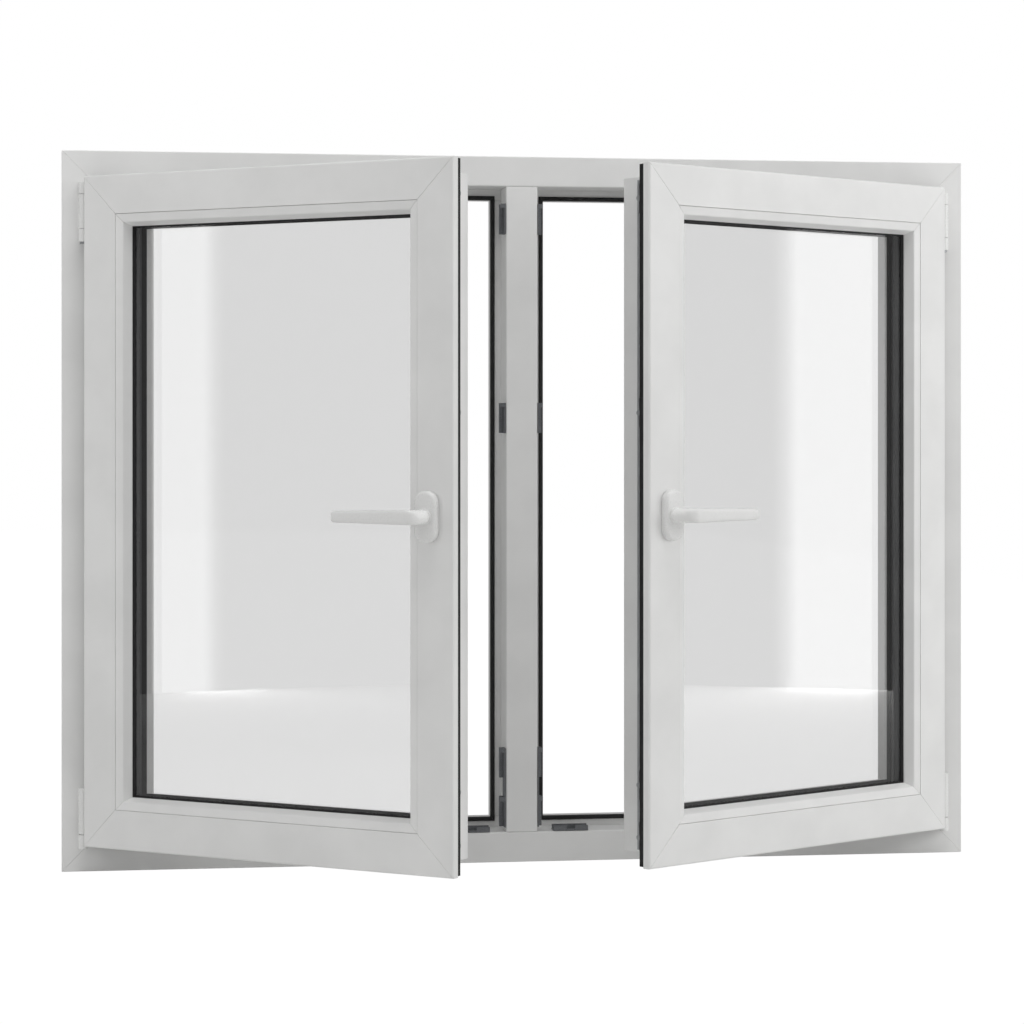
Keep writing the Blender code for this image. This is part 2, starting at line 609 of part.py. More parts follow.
def build_bottom_hinge(side, sash_axis):
    """A fixed cup on the frame, and the sash's sleeve with a ball-ended pin that stands in it."""
    low = LIP_X
    top = low + COLLAR
    cup = piece("bottom_hinge_bearing", d_lug(low, top), ENAMEL, side)
    floor = BALL_Z - BALL_RADIUS - CUP_WALL
    add(cup, d_lug(floor - CUP_FLOOR, low + SUNK), side)
    cut(cup, on_pin(SLEEVE_RADIUS - CUP_WALL, floor, top + CUT_PAST), side)

    sleeve_low = top + SLEEVE_GAP
    sleeve_high = sleeve_low + BOTTOM_SLEEVE
    sleeve = on_pin(SLEEVE_RADIUS, sleeve_low, sleeve_high)
    knuckle = piece("bottom_hinge_knuckle", sleeve, ENAMEL, side, sash_axis)
    add(knuckle, on_pin(PIN_RADIUS, BALL_Z, sleeve_low + SUNK), side)
    ball = bmesh.new()
    bmesh.ops.create_uvsphere(ball, u_segments=ROUND_SIDES, v_segments=ROUND_SIDES // 2, radius=BALL_RADIUS,
                              matrix=Matrix.Translation((HINGE_X, HINGE_Y, BALL_Z)))
    add(knuckle, meshed(ball), side)
    strap_low, strap_high = sleeve_low + STRAP_INSET, sleeve_high - STRAP_INSET
    strap_end = BODY_X - TOUCH
    add(knuckle, box(STRAP_X, STRAP_X + STRAP_ROOT, HINGE_Y + PIN_RADIUS, STRAP_Y[1] - SHY,
                     strap_low + SUNK, strap_high - SUNK), side)
    add(knuckle, box(STRAP_X + 2 * SHY, strap_end, *STRAP_Y, strap_low, strap_high), side)
    add(knuckle, box(strap_end - STRAP, strap_end - SHY, STRAP_Y[0] + SHY, GROOVE_Y - GROOVE_WIDTH / 2,
                     strap_low + 2 * SHY, strap_high - 2 * SHY), side)


# ---- Locking ------------------------------------------------------------------------------
def gearbox_box(room=0.0):
    """Corners of the gearbox in the lock stile, grown by the given room."""
    deep = PLATE_WIDTH / 2 - RUN + room
    tall = GEARBOX_HEIGHT / 2 + room
    back = HANDLE_X - PITCH_RADIUS - 2 * MODULE - room
    return back, PLATE_X + RUN, GROOVE_Y - deep, GROOVE_Y + deep, HANDLE_HEIGHT - tall, HANDLE_HEIGHT + tall


def build_espagnolette(side, axis):
    """Faceplate along the lock stile with the gearbox on its back, slotted for the cams."""
    plate = box(PLATE_X, PLATE_X + PLATE, GROOVE_Y - PLATE_WIDTH / 2, GROOVE_Y + PLATE_WIDTH / 2,
                BODY_X + PLATE_SHORT, BODY_TOP - PLATE_SHORT)
    plate = piece("espagnolette_case", plate, ZINC, side, axis)
    case = gearbox_box()
    add(plate, box(*case), side)
    half = ROD_WIDTH / 2 + RUN
    room = PITCH_RADIUS + MODULE * PINION_TOOTH[0] + RUN
    cut(plate, box(HANDLE_X - room, PLATE_X + TOUCH, GROOVE_Y - half, GROOVE_Y + half,
                   HANDLE_HEIGHT - room, HANDLE_HEIGHT + room), side)
    rack_x = HANDLE_X + PITCH_RADIUS - MODULE - RUN
    cut(plate, box(rack_x, PLATE_X + TOUCH / 2, GROOVE_Y - half - SHY, GROOVE_Y + half + SHY,
                   case[4] - CUT_PAST, case[5] + CUT_PAST), side)
    cut(plate, cylinder(SPINDLE / math.sqrt(2) + TOUCH, (HANDLE_X, case[2] - CUT_PAST, HANDLE_HEIGHT),
                        (HANDLE_X, case[3] + CUT_PAST, HANDLE_HEIGHT)), side)
    slot = CAM_RADIUS + RUN
    for height in CAM_HEIGHTS:
        cut(plate, box(PLATE_X - CUT_PAST, PLATE_X + PLATE + CUT_PAST, GROOVE_Y - slot, GROOVE_Y + slot,
                       height - TRAVEL - slot, height + TRAVEL + slot), side)


def tooth_flank(radius):
    """Half the angle of a pinion tooth at a radius, from the involute of the gear."""
    base = PITCH_RADIUS * math.cos(PRESSURE_ANGLE)
    at = math.acos(min(1, base / radius))
    involute = math.tan(at) - at
    reference = math.tan(PRESSURE_ANGLE) - PRESSURE_ANGLE
    return math.pi / (2 * PINION_TEETH) + reference - involute - BACKLASH / PITCH_RADIUS


def build_pinion(side, axis):
    """The gear that the spindle turns, meshing with the rod's rack at rest."""
    addendum, dedendum = PINION_TOOTH
    tip = PITCH_RADIUS + addendum * MODULE
    root = PITCH_RADIUS - dedendum * MODULE
    base = PITCH_RADIUS * math.cos(PRESSURE_ANGLE)
    outline = []
    for tooth in range(PINION_TEETH):
        middle = math.tau * tooth / PINION_TEETH
        flank = ((root, -1), (PITCH_RADIUS, -1), (tip, -1), (tip, 1), (PITCH_RADIUS, 1), (root, 1))
        for radius, hand in flank:
            turn = middle + hand * tooth_flank(max(radius, base))
            outline.append(Vector((radius * math.cos(turn), radius * math.sin(turn))))
    half = SPINDLE / 2 + TOUCH
    gear = prism([outline, rectangle(-half, half, -half, half)], PINION_WIDTH)
    piece("drive_pinion", laid(gear, X, Z, Y, (HANDLE_X, GROOVE_Y, HANDLE_HEIGHT)), CAST, side, axis)


def rack_outline():
    """The rod's section in XZ, with the rack's teeth towards the pinion: (x, z)."""
    pitch = math.pi * MODULE
    slope = math.tan(PRESSURE_ANGLE)
    line = HANDLE_X + PITCH_RADIUS
    addendum, dedendum = (share * MODULE for share in RACK_TOOTH)
    tip, root = line - addendum, line + dedendum
    at_line = pitch / 4 - BACKLASH
    at_root, at_tip = at_line + dedendum * slope, at_line - addendum * slope
    low = CAM_HEIGHTS[-1] - CAM_RADIUS - RUN
    high = CAM_HEIGHTS[0] + CAM_RADIUS + RUN
    first = HANDLE_HEIGHT + RACK_TEETH * pitch / 2
    last = first - (RACK_TEETH + 1) * pitch
    outline = [Vector((ROD_X, low)), Vector((ROD_X + ROD, low)), Vector((ROD_X + ROD, high)),
               Vector((ROD_X, high)), Vector((ROD_X, first + pitch)), Vector((root, first + pitch))]
    for tooth in range(RACK_TEETH + 1):
        centre = first - tooth * pitch
        outline += [Vector((root, centre + at_root)), Vector((tip, centre + at_tip)),
                    Vector((tip, centre - at_tip)), Vector((root, centre - at_root))]
    return outline + [Vector((root, last)), Vector((ROD_X, last))]


def build_drive_rod(side, axis):
    """Sliding rod behind the faceplate, with its rack and four cams."""
    rod = laid(prism([rack_outline()], ROD_WIDTH), X, Z, Y, (0, GROOVE_Y, 0))
    rod = piece("drive_rod", rod, ZINC, side, axis)
    for height in CAM_HEIGHTS:
        cam = cylinder(CAM_RADIUS, (ROD_X + SUNK, GROOVE_Y, height), (CAM_END_X, GROOVE_Y, height), CAM_SIDES)
        add(rod, cam, side)


def build_bottom_bolt(side, axis):
    """Sliding bar in the bottom rail's groove, with the cam that holds the sash's foot in the tilt."""
    low = BODY_X + RUN + TOUCH
    end = BODY_END_X - TRAVEL - GROOVE_DEPTH + RUN
    bolt = box(end - BOLT_LENGTH, end, GROOVE_Y - ROD_WIDTH / 2, GROOVE_Y + ROD_WIDTH / 2, low, low + ROD)
    bolt = piece("bottom_bolt", bolt, ZINC, side, axis)
    add(bolt, cylinder(CAM_RADIUS, (SILL_CAM_X, GROOVE_Y, BODY_X - PLATE - CAM_REACH),
                       (SILL_CAM_X, GROOVE_Y, low + SUNK), CAM_SIDES), side)


def build_mullion_keep(side, name, cams):
    """Striker on the mullion's rebate wall. Each cam rises behind a hook at the top of its channel."""
    wall = WALL_END_X - TOUCH
    below, above = (TRAVEL + past for past in KEEP_ENDS)
    low, high = min(cams) - below, max(cams) + above
    keep = piece(name, box(wall - KEEP_BASE, wall, KEEP_Y, KEEP_BACK_Y, low, high), CAST, side)
    rib = (wall - KEEP_RISE, wall - KEEP_BASE / 2)
    for cam in cams:
        end = cam + above - 2 * SHY
        add(keep, box(*rib, KEEP_Y + SHY, CHANNEL_Y[0], end - HOOK_HEIGHT, end), side)
        add(keep, box(*rib, CHANNEL_Y[1], KEEP_BACK_Y - SHY, cam - below + 2 * SHY, end), side)


def build_sill_keep(side):
    """Striker on the sill, hooked at both ends so that the foot stays held in the tilt."""
    floor = FACE + TOUCH
    half = TRAVEL + SILL_KEEP_PAST
    x0, x1 = SILL_CAM_X - half, SILL_CAM_X + half
    keep = piece("sill_keep", box(x0, x1, KEEP_Y, KEEP_BACK_Y, floor, floor + KEEP_BASE), CAST, side)
    rib = (floor + KEEP_BASE / 2, floor + KEEP_RISE)
    for a, b in ((x0 + 2 * SHY, SILL_CAM_X - SILL_GATE), (SILL_CAM_X + SILL_GATE, x1 - 2 * SHY)):
        add(keep, box(a, b, KEEP_Y + SHY, KEEP_Y + SILL_HOOK, *rib), side)
    add(keep, box(x0 + 2 * SHY, x1 - 2 * SHY, CHANNEL_Y[1], KEEP_BACK_Y - SHY, *rib), side)


# ---- Handle -------------------------------------------------------------------------------
def arc_points(centre, radius, start, sweep, steps):
    """Points along an arc whose centre lies on the first axis."""
    turns = (start + sweep * step / steps for step in range(steps + 1))
    return [Vector((centre + radius * math.cos(turn), radius * math.sin(turn))) for turn in turns]


def build_handle(side, sash_axis, handle_axis):
    """Fixed rosette, and the lever with its square spindle, level and pointing at the hinges."""
    half, reach = ROSETTE_WIDTH / 2, ROSETTE_HEIGHT / 2
    corner = half - RUN
    corners = ((-half, -reach), (half, -reach), (half, reach), (-half, reach))
    plate = rounded([(a, b, corner) for a, b in corners])
    bore = arc_points(0, NECK_RADIUS + RUN, 0, math.tau, ROUND_SIDES)[:-1]
    back = SASH_Y - TOUCH
    rosette = laid(prism([plate, bore], ROSETTE_DEPTH), X, Z, Y,
                   (HANDLE_X, back - ROSETTE_DEPTH / 2, HANDLE_HEIGHT))
    piece("handle_rosette", rosette, ENAMEL, side, sash_axis)

    lean = math.asin((NECK_RADIUS - LEVER_TIP) / LEVER_LENGTH)
    grip = arc_points(0, NECK_RADIUS, -math.pi / 2 - lean, math.pi + 2 * lean, 2 * ROUND_STEPS)
    grip += arc_points(-LEVER_LENGTH, LEVER_TIP, math.pi / 2 + lean, math.pi - 2 * lean, 2 * ROUND_STEPS)
    grip_y = SASH_Y - LEVER_STANDOFF - LEVER_THICKNESS / 2
    lever = laid(prism([grip], LEVER_THICKNESS), X, Z, Y, (HANDLE_X, grip_y, HANDLE_HEIGHT))
    lever = piece("handle_lever", lever, ENAMEL, side, handle_axis)
    add(lever, cylinder(NECK_RADIUS - TOUCH, (HANDLE_X, back - CUT_PAST, HANDLE_HEIGHT),
                        (HANDLE_X, grip_y, HANDLE_HEIGHT)), side)
    bar = SPINDLE / 2
    add(lever, box(HANDLE_X - bar, HANDLE_X + bar, back - 2 * CUT_PAST, GROOVE_Y + PINION_WIDTH / 2 + SUNK,
                   HANDLE_HEIGHT - bar, HANDLE_HEIGHT + bar), side)


# ---- Assembly -----------------------------------------------------------------------------
def build_leaf(side):
    """One leaf with its axes: swing, then tilt, then handle; the stay turns on the swing axis."""
    build_frame_seal(side)
    hinge = side.world(HINGE_X, HINGE_Y, BALL_Z)
    swing = pivot(f"{side.name}_swing_axis", hinge)
    tilt = pivot(f"{side.name}_tilt_axis", hinge, swing)
    stay = pivot(f"{side.name}_stay_axis", side.world(HINGE_X, HINGE_Y, SLEEVE_TOP), swing)
    handle = pivot(f"{side.name}_handle_axis", side.world(HANDLE_X, SASH_Y, HANDLE_HEIGHT), tilt)
    build_sash(side, tilt)
    build_seals_and_glazing(side, tilt)
    build_top_hinge(side, swing, stay)
    build_bottom_hinge(side, tilt)
    build_espagnolette(side, tilt)
    build_pinion(side, handle)
    build_drive_rod(side, tilt)
    build_bottom_bolt(side, tilt)
    build_handle(side, tilt, handle)
    build_mullion_keep(side, "top_keep", CAM_HEIGHTS[:1])
    build_mullion_keep(side, "middle_keep", CAM_HEIGHTS[1:2])
    build_mullion_keep(side, "lower_keep", CAM_HEIGHTS[2:])
    build_sill_keep(side)
    swing.rotation_euler.z = side.hand * side.opening


build_frame()
build_leaf(Side("left", -1, LEFT_OPEN))
build_leaf(Side("right", 1, RIGHT_OPEN))
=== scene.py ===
import json
import math

import bpy
import numpy as np
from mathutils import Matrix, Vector


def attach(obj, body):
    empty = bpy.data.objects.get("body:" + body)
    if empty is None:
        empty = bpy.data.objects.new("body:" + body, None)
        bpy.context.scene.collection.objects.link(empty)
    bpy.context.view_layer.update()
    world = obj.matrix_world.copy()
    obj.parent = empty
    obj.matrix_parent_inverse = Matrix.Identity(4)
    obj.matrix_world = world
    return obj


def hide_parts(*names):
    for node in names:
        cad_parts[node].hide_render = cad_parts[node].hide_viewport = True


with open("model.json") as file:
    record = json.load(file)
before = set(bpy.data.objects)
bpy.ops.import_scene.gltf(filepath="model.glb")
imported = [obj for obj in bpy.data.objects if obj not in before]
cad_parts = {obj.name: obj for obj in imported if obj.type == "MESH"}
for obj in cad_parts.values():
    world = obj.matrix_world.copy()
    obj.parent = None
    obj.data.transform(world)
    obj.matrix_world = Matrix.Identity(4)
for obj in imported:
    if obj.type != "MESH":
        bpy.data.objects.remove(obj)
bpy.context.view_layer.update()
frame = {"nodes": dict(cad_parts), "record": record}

# Double-sash tilt-and-turn window in white uPVC. Metres, +Z up. A leaf is drawn closed, in leaf
# coordinates: x from the frame's hinge-side edge towards the mullion, y outdoors, z up. leafPlace
# turns it open about its hinge pin.

axisX, axisY, axisZ = (1, 0, 0), (0, 1, 0), (0, 0, 1)


# Nodes and colours

def linear(hexColour):
    # sRGB to linear: c / 12.92 up to 0.04045, and ((c + 0.055) / 1.055) ** 2.4 above it
    channels = np.array([int(hexColour[i:i + 2], 16) for i in (1, 3, 5)]) / 255
    bright = ((channels + 0.055) / 1.055) ** 2.4
    return (*np.where(channels <= 0.04045, channels / 12.92, bright).tolist(), 1.0)


def addNode(tree, kind, settings=None, links=None):
    # settings: a property or an input, by name or number; links: an input to an output socket
    made = tree.nodes.new(kind)
    for name, value in (settings or {}).items():
        if isinstance(name, str) and hasattr(made, name):
            setattr(made, name, value)
        else:
            made.inputs[name].default_value = value
    for name, socket in (links or {}).items():
        tree.links.new(socket, made.inputs[name])
    return made


def newMaterial(name, settings):
    # a Principled material with its even values set on the shader's own sockets
    made = bpy.data.materials.new(name)
    made.use_nodes = True
    tree = made.node_tree
    shader = tree.nodes["Principled BSDF"]
    for socket, value in settings.items():
        shader.inputs[socket].default_value = value
    return made, tree, shader


def perMm(size):
    # how many cells of a pattern fit in a metre, for a cell of this many millimetres
    return 1000 / size


# Extruded white uPVC: a satin skin with faint draw lines that run along each profile, and a
# cloudy tone that breaks up wide faces. The lines are 0.15 mm apart on a real profile, and are
# drawn 1.2 mm apart so that they show.
upvc = {"light": "#F6F6F5", "shade": "#F0F0EF", "cloud": 90, "line": 1.2, "lineLength": 500,
        "lineDepth": 0.00001, "gloss": (0.27, 0.36)}


def extrudedUpvc():
    made, tree, shader = newMaterial("extruded white uPVC", {"IOR": 1.53})
    place = addNode(tree, "ShaderNodeTexCoord")
    cloud = addNode(tree, "ShaderNodeTexNoise", {"Scale": perMm(upvc["cloud"]), "Detail": 3},
                    {"Vector": place.outputs["Object"]})
    tone = addNode(tree, "ShaderNodeValToRGB", {}, {"Fac": cloud.outputs["Fac"]})
    tone.color_ramp.elements[0].position = 0.35
    tone.color_ramp.elements[0].color = linear(upvc["shade"])
    tone.color_ramp.elements[1].position = 0.65
    tone.color_ramp.elements[1].color = linear(upvc["light"])
    across = addNode(tree, "ShaderNodeMapping",
                     {"Scale": (perMm(upvc["line"]), perMm(upvc["lineLength"]), 1)},
                     {"Vector": place.outputs["UV"]})
    lines = addNode(tree, "ShaderNodeTexNoise", {"Scale": 1, "Detail": 2},
                    {"Vector": across.outputs["Vector"]})
    gloss = addNode(tree, "ShaderNodeMapRange", {"To Min": upvc["gloss"][0], "To Max": upvc["gloss"][1]},
                    {"Value": lines.outputs["Fac"]})
    bump = addNode(tree, "ShaderNodeBump", {"Distance": upvc["lineDepth"], "Strength": 1},
                   {"Height": lines.outputs["Fac"]})
    tree.links.new(tone.outputs["Color"], shader.inputs["Base Color"])
    tree.links.new(gloss.outputs["Result"], shader.inputs["Roughness"])
    tree.links.new(bump.outputs["Normal"], shader.inputs["Normal"])
    return made


# Extruded EPDM rubber: nearly black, matt, with a slight bloom in patches and a fine grain.
epdm = {"black": "#0A0A0B", "bloom": "#1A1A1B", "patch": 25, "grain": 0.6, "grainDepth": 0.00002}


def extrudedEpdm():
    made, tree, shader = newMaterial("extruded EPDM rubber", {"IOR": 1.5})
    place = addNode(tree, "ShaderNodeTexCoord")
    patches = addNode(tree, "ShaderNodeTexNoise", {"Scale": perMm(epdm["patch"]), "Detail": 4},
                      {"Vector": place.outputs["Object"]})
    tone = addNode(tree, "ShaderNodeValToRGB", {}, {"Fac": patches.outputs["Fac"]})
    tone.color_ramp.elements[0].color = linear(epdm["black"])
    tone.color_ramp.elements[1].color = linear(epdm["bloom"])
    matt = addNode(tree, "ShaderNodeMapRange", {"To Min": 0.5, "To Max": 0.7},
                   {"Value": patches.outputs["Fac"]})
    grain = addNode(tree, "ShaderNodeTexNoise", {"Scale": perMm(epdm["grain"]), "Detail": 2},
                    {"Vector": place.outputs["Object"]})
    bump = addNode(tree, "ShaderNodeBump", {"Distance": epdm["grainDepth"]},
                   {"Height": grain.outputs["Fac"]})
    tree.links.new(tone.outputs["Color"], shader.inputs["Base Color"])
    tree.links.new(matt.outputs["Result"], shader.inputs["Roughness"])
    tree.links.new(bump.outputs["Normal"], shader.inputs["Normal"])
    return made


# Clear float glass with a low-emissivity coat: nearly neutral, and it takes about 7% of the light
# at each face. Each pane mirrors at the face towards the light, as much as its Fresnel says.
glass = {"tint": "#F7F7F7", "mirror": "#FFFFFF", "coatIor": 1.7}


def floatGlass():
    made = bpy.data.materials.new("clear float glass")
    made.use_nodes = True
    tree = made.node_tree
    tree.nodes.clear()
    clear = addNode(tree, "ShaderNodeBsdfTransparent", {"Color": linear(glass["tint"])})
    mirror = addNode(tree, "ShaderNodeBsdfGlossy", {"Color": linear(glass["mirror"]), "Roughness": 0.0})
    fresnel = addNode(tree, "ShaderNodeFresnel", {"IOR": glass["coatIor"]})
    side = addNode(tree, "ShaderNodeNewGeometry")
    front = addNode(tree, "ShaderNodeMath", {"operation": "SUBTRACT", 0: 1.0},
                    {1: side.outputs["Backfacing"]})
    share = addNode(tree, "ShaderNodeMath", {"operation": "MULTIPLY"},
                    {0: fresnel.outputs["Fac"], 1: front.outputs["Value"]})
    mixed = addNode(tree, "ShaderNodeMixShader", {}, {0: share.outputs["Value"], 1: clear.outputs["BSDF"],
                                                       2: mirror.outputs["BSDF"]})
    addNode(tree, "ShaderNodeOutputMaterial", {}, {"Surface": mixed.outputs["Shader"]})
    return made


def grainedMetal(name, low, high, grain, stretch, roughness, metallic, depth):
    # a metal whose tone, gloss and bump follow one stretched noise; grain is its width in mm
    made, tree, shader = newMaterial(name, {"Metallic": metallic})
    place = addNode(tree, "ShaderNodeTexCoord")
    along = addNode(tree, "ShaderNodeMapping", {"Scale": stretch}, {"Vector": place.outputs["Object"]})
    noise = addNode(tree, "ShaderNodeTexNoise", {"Scale": perMm(grain), "Detail": 4},
                    {"Vector": along.outputs["Vector"]})
    tone = addNode(tree, "ShaderNodeValToRGB", {}, {"Fac": noise.outputs["Fac"]})
    tone.color_ramp.elements[0].position = 0.3
    tone.color_ramp.elements[0].color = linear(low)
    tone.color_ramp.elements[1].position = 0.7
    tone.color_ramp.elements[1].color = linear(high)
    gloss = addNode(tree, "ShaderNodeMapRange", {"To Min": roughness[0], "To Max": roughness[1]},
                    {"Value": noise.outputs["Fac"]})
    bump = addNode(tree, "ShaderNodeBump", {"Distance": depth}, {"Height": noise.outputs["Fac"]})
    tree.links.new(tone.outputs["Color"], shader.inputs["Base Color"])
    tree.links.new(gloss.outputs["Result"], shader.inputs["Roughness"])
    tree.links.new(bump.outputs["Normal"], shader.inputs["Normal"])
    return made


# White powder coat on cast handles and hinges: satin, with the orange peel of the cured powder,
# 1.6 mm across.
enamel = {"light": "#F7F7F6", "shade": "#F1F1F0", "cloud": 30, "peel": 1.6, "peelDepth": 0.00001,
          "gloss": (0.24, 0.32)}


def powderCoat():
    made, tree, shader = newMaterial("white powder coat", {"IOR": 1.5})
    place = addNode(tree, "ShaderNodeTexCoord")
    cloud = addNode(tree, "ShaderNodeTexNoise", {"Scale": perMm(enamel["cloud"]), "Detail": 2},
                    {"Vector": place.outputs["Object"]})
    tone = addNode(tree, "ShaderNodeValToRGB", {}, {"Fac": cloud.outputs["Fac"]})
    tone.color_ramp.elements[0].color = linear(enamel["shade"])
    tone.color_ramp.elements[1].color = linear(enamel["light"])
    peel = addNode(tree, "ShaderNodeTexNoise", {"Scale": perMm(enamel["peel"]), "Detail": 1},
                   {"Vector": place.outputs["Object"]})
    gloss = addNode(tree, "ShaderNodeMapRange", {"To Min": enamel["gloss"][0], "To Max": enamel["gloss"][1]},
                    {"Value": peel.outputs["Fac"]})
    bump = addNode(tree, "ShaderNodeBump", {"Distance": enamel["peelDepth"]},
                   {"Height": peel.outputs["Fac"]})
    tree.links.new(tone.outputs["Color"], shader.inputs["Base Color"])
    tree.links.new(gloss.outputs["Result"], shader.inputs["Roughness"])
    tree.links.new(bump.outputs["Normal"], shader.inputs["Normal"])
    return made


finish = {
    "upvc": extrudedUpvc(),
    "epdm": extrudedEpdm(),
    "glass": floatGlass(),
    "enamel": powderCoat(),
    # Zinc-plated steel strip: pale, satin, with a grain along its rolling direction, 0.5 mm wide
    "zinc": grainedMetal("zinc-plated steel", "#A9ABAE", "#C6C7C9", 0.5, (1, 1, 0.03),
                         (0.30, 0.45), 1.0, 0.00001),
    # Die-cast zinc: darker and duller, with the sandy skin of the mould, 0.8 mm across
    "cast": grainedMetal("die-cast zinc", "#6E7073", "#8B8D90", 0.8, (1, 1, 1),
                         (0.42, 0.60), 0.8, 0.00003),
    # Warm-edge spacer: a dark matt composite bar with a woven skin, 1 mm across
    "spacer": grainedMetal("dark warm-edge spacer", "#3C3D3F", "#4E4F51", 1.0, (1, 1, 1),
                           (0.45, 0.60), 0.0, 0.00002),
    # Blackened steel screws: dark recess and a dull rim
    "screw": grainedMetal("blackened screw steel", "#38393B", "#5A5B5D", 0.6, (1, 1, 1),
                          (0.35, 0.50), 0.9, 0.00001),
}
print("finishes made:", len(finish))


# Shapes

def outline(corners, steps=8):
    # A closed outline from (a, b, radius) corners. Each arc is centre + radius (cos t, sin t),
    # with its centre on the corner's bisector, radius / sin(half angle) from the corner.
    corner = np.array(corners, float)
    place, radius = corner[:, :2], corner[:, 2:]
    before = np.roll(place, 1, 0) - place
    after = np.roll(place, -1, 0) - place
    before = before / np.linalg.norm(before, axis=1, keepdims=True)
    after = after / np.linalg.norm(after, axis=1, keepdims=True)
    half = np.arccos(np.clip((before * after).sum(1, keepdims=True), -1, 1)) / 2
    bisector = (before + after) / np.linalg.norm(before + after, axis=1, keepdims=True)
    centre = place + bisector * radius / np.sin(half)
    first = place + before * radius / np.tan(half) - centre
    last = place + after * radius / np.tan(half) - centre
    start = np.arctan2(first[:, 1], first[:, 0])
    sweep = (np.arctan2(last[:, 1], last[:, 0]) - start + math.pi) % math.tau - math.pi
    turn = start[:, None] + sweep[:, None] * np.linspace(0, 1, steps + 1)
    arcs = centre[:, None] + radius[:, None] * np.stack([np.cos(turn), np.sin(turn)], -1)
    kept = np.ones(turn.shape, bool)
    kept[radius[:, 0] == 0, 1:] = False
    return arcs[kept]


def inset(section, amount):
    # each point drawn in along the mean of its two edges' normals
    edge = np.roll(section, -1, 0) - section
    turned = np.stack([-edge[:, 1], edge[:, 0]], -1)
    turned = turned / np.maximum(np.linalg.norm(turned, axis=1, keepdims=True), 1e-9)
    ahead = np.roll(section, -1, 0)
    area = (section[:, 0] * ahead[:, 1] - ahead[:, 0] * section[:, 1]).sum()
    normal = turned + np.roll(turned, 1, 0)
    normal = normal / np.maximum(np.linalg.norm(normal, axis=1, keepdims=True), 1e-9)
    return section + normal * amount * np.sign(area)


def loft(rings):
    # A closed skin over rings[station, around]: quads join each ring to the next, and a flat face
    # closes each end. Its UV is the distance around and along, in metres. The faces are turned
    # over if the enclosed volume, the sum of a . (b x c) over its triangles, is negative.
    rings = np.asarray(rings, float)
    stations, around = rings.shape[:2]
    index = np.arange(stations * around).reshape(stations, around)
    ahead = np.roll(index, -1, 1)
    quads = np.stack([index[:-1], ahead[:-1], ahead[1:], index[1:]], -1).reshape(-1, 4)
    caps = [index[0, ::-1], index[-1]]
    fans = [np.stack([np.full(around - 2, cap[0]), cap[1:-1], cap[2:]], -1) for cap in caps]
    corners = np.concatenate([quads[:, [0, 1, 2]], quads[:, [0, 2, 3]], *fans])
    points = rings.reshape(-1, 3)
    a, b, c = (points[corners[:, k]] - points.mean(0) for k in range(3))
    faces = quads.tolist() + [cap.tolist() for cap in caps]
    if np.einsum("ij,ij->", a, np.cross(b, c)) < 0:
        faces = [face[::-1] for face in faces]
    stepAround = np.linalg.norm(np.diff(rings, axis=1), axis=2).max(0)
    stepAlong = np.linalg.norm(np.diff(rings.mean(1), axis=0), axis=1)
    u = np.concatenate([[0], np.cumsum(stepAround)])
    v = np.concatenate([[0], np.cumsum(stepAlong)])
    uv = np.stack(np.broadcast_arrays(u[None, :], v[:, None]), -1).reshape(-1, 2)
    return points, faces, uv


def bar(section, start, inwards, along, length, middle=(), end="mitre", groove=0.0004, place=None):
    # A section carried along a straight edge: P = start + inwards d + Y y + along t. A mitred end
    # stops at t = length / 2 - d. The last fraction of a millimetre draws in, which leaves the fine
    # V line of a cleaned weld. middle lists stations (t, section) where the section changes.
    start, inwards, along = (np.array(v, float) for v in (start, inwards, along))
    small = inset(section, groove)
    gap = 0.00005

    def ring(shape, t):
        return start + shape[:, :1] * inwards + shape[:, 1:] * np.array(axisY) + t * along

    def reach(shape, back):
        cut = shape[:, :1] if end == "mitre" else 0 * shape[:, :1]
        return length / 2 - cut - gap - back

    rings = [ring(small, -reach(small, 0)), ring(section, -reach(section, groove))]
    rings += [ring(shape, t) for t, shape in middle]
    rings += [ring(section, reach(section, groove)), ring(small, reach(small, 0))]
    rings = np.array(rings)
    return loft(place(rings) if place else rings)


def fourSides(section, x0, x1, z0, z1, place, groove=0.0004):
    # the same section along the four edges of a rectangle, mitred at its corners
    midX, midZ, wide, tall = (x0 + x1) / 2, (z0 + z1) / 2, x1 - x0, z1 - z0
    edges = [((x0, 0, midZ), (1, 0, 0), axisZ, tall), ((x1, 0, midZ), (-1, 0, 0), axisZ, tall),
             ((midX, 0, z0), (0, 0, 1), axisX, wide), ((midX, 0, z1), (0, 0, -1), axisX, wide)]
    return [bar(section, *edge, groove=groove, place=place) for edge in edges]


def slab(a0, a1, b0, b1, c0, c1, edge, place, corner=None, axes="xyz"):
    # A block with rounded edges: rings of one rounded rectangle, drawn in at both ends along a
    # quarter circle. axes says which way its first, second and third sizes point.
    corner = max(corner or edge, edge * 1.01)
    turn = np.linspace(0, math.pi / 2, 5)
    depth = np.concatenate([c0 + edge * (1 - np.sin(turn)[::-1]), c1 - edge * (1 - np.sin(turn))])
    draw = np.concatenate([edge * (1 - np.cos(turn)[::-1]), edge * (1 - np.cos(turn))])
    rings = []
    for c, d in zip(depth, draw):
        ring = outline([(a0 + d, b0 + d, corner - d), (a1 - d, b0 + d, corner - d),
                        (a1 - d, b1 - d, corner - d), (a0 + d, b1 - d, corner - d)], 5)
        rings.append(np.column_stack([ring, np.full(len(ring), c)]))
    order = [axes.index(name) for name in "xyz"]
    return loft(place(np.array(rings)[:, :, order]))


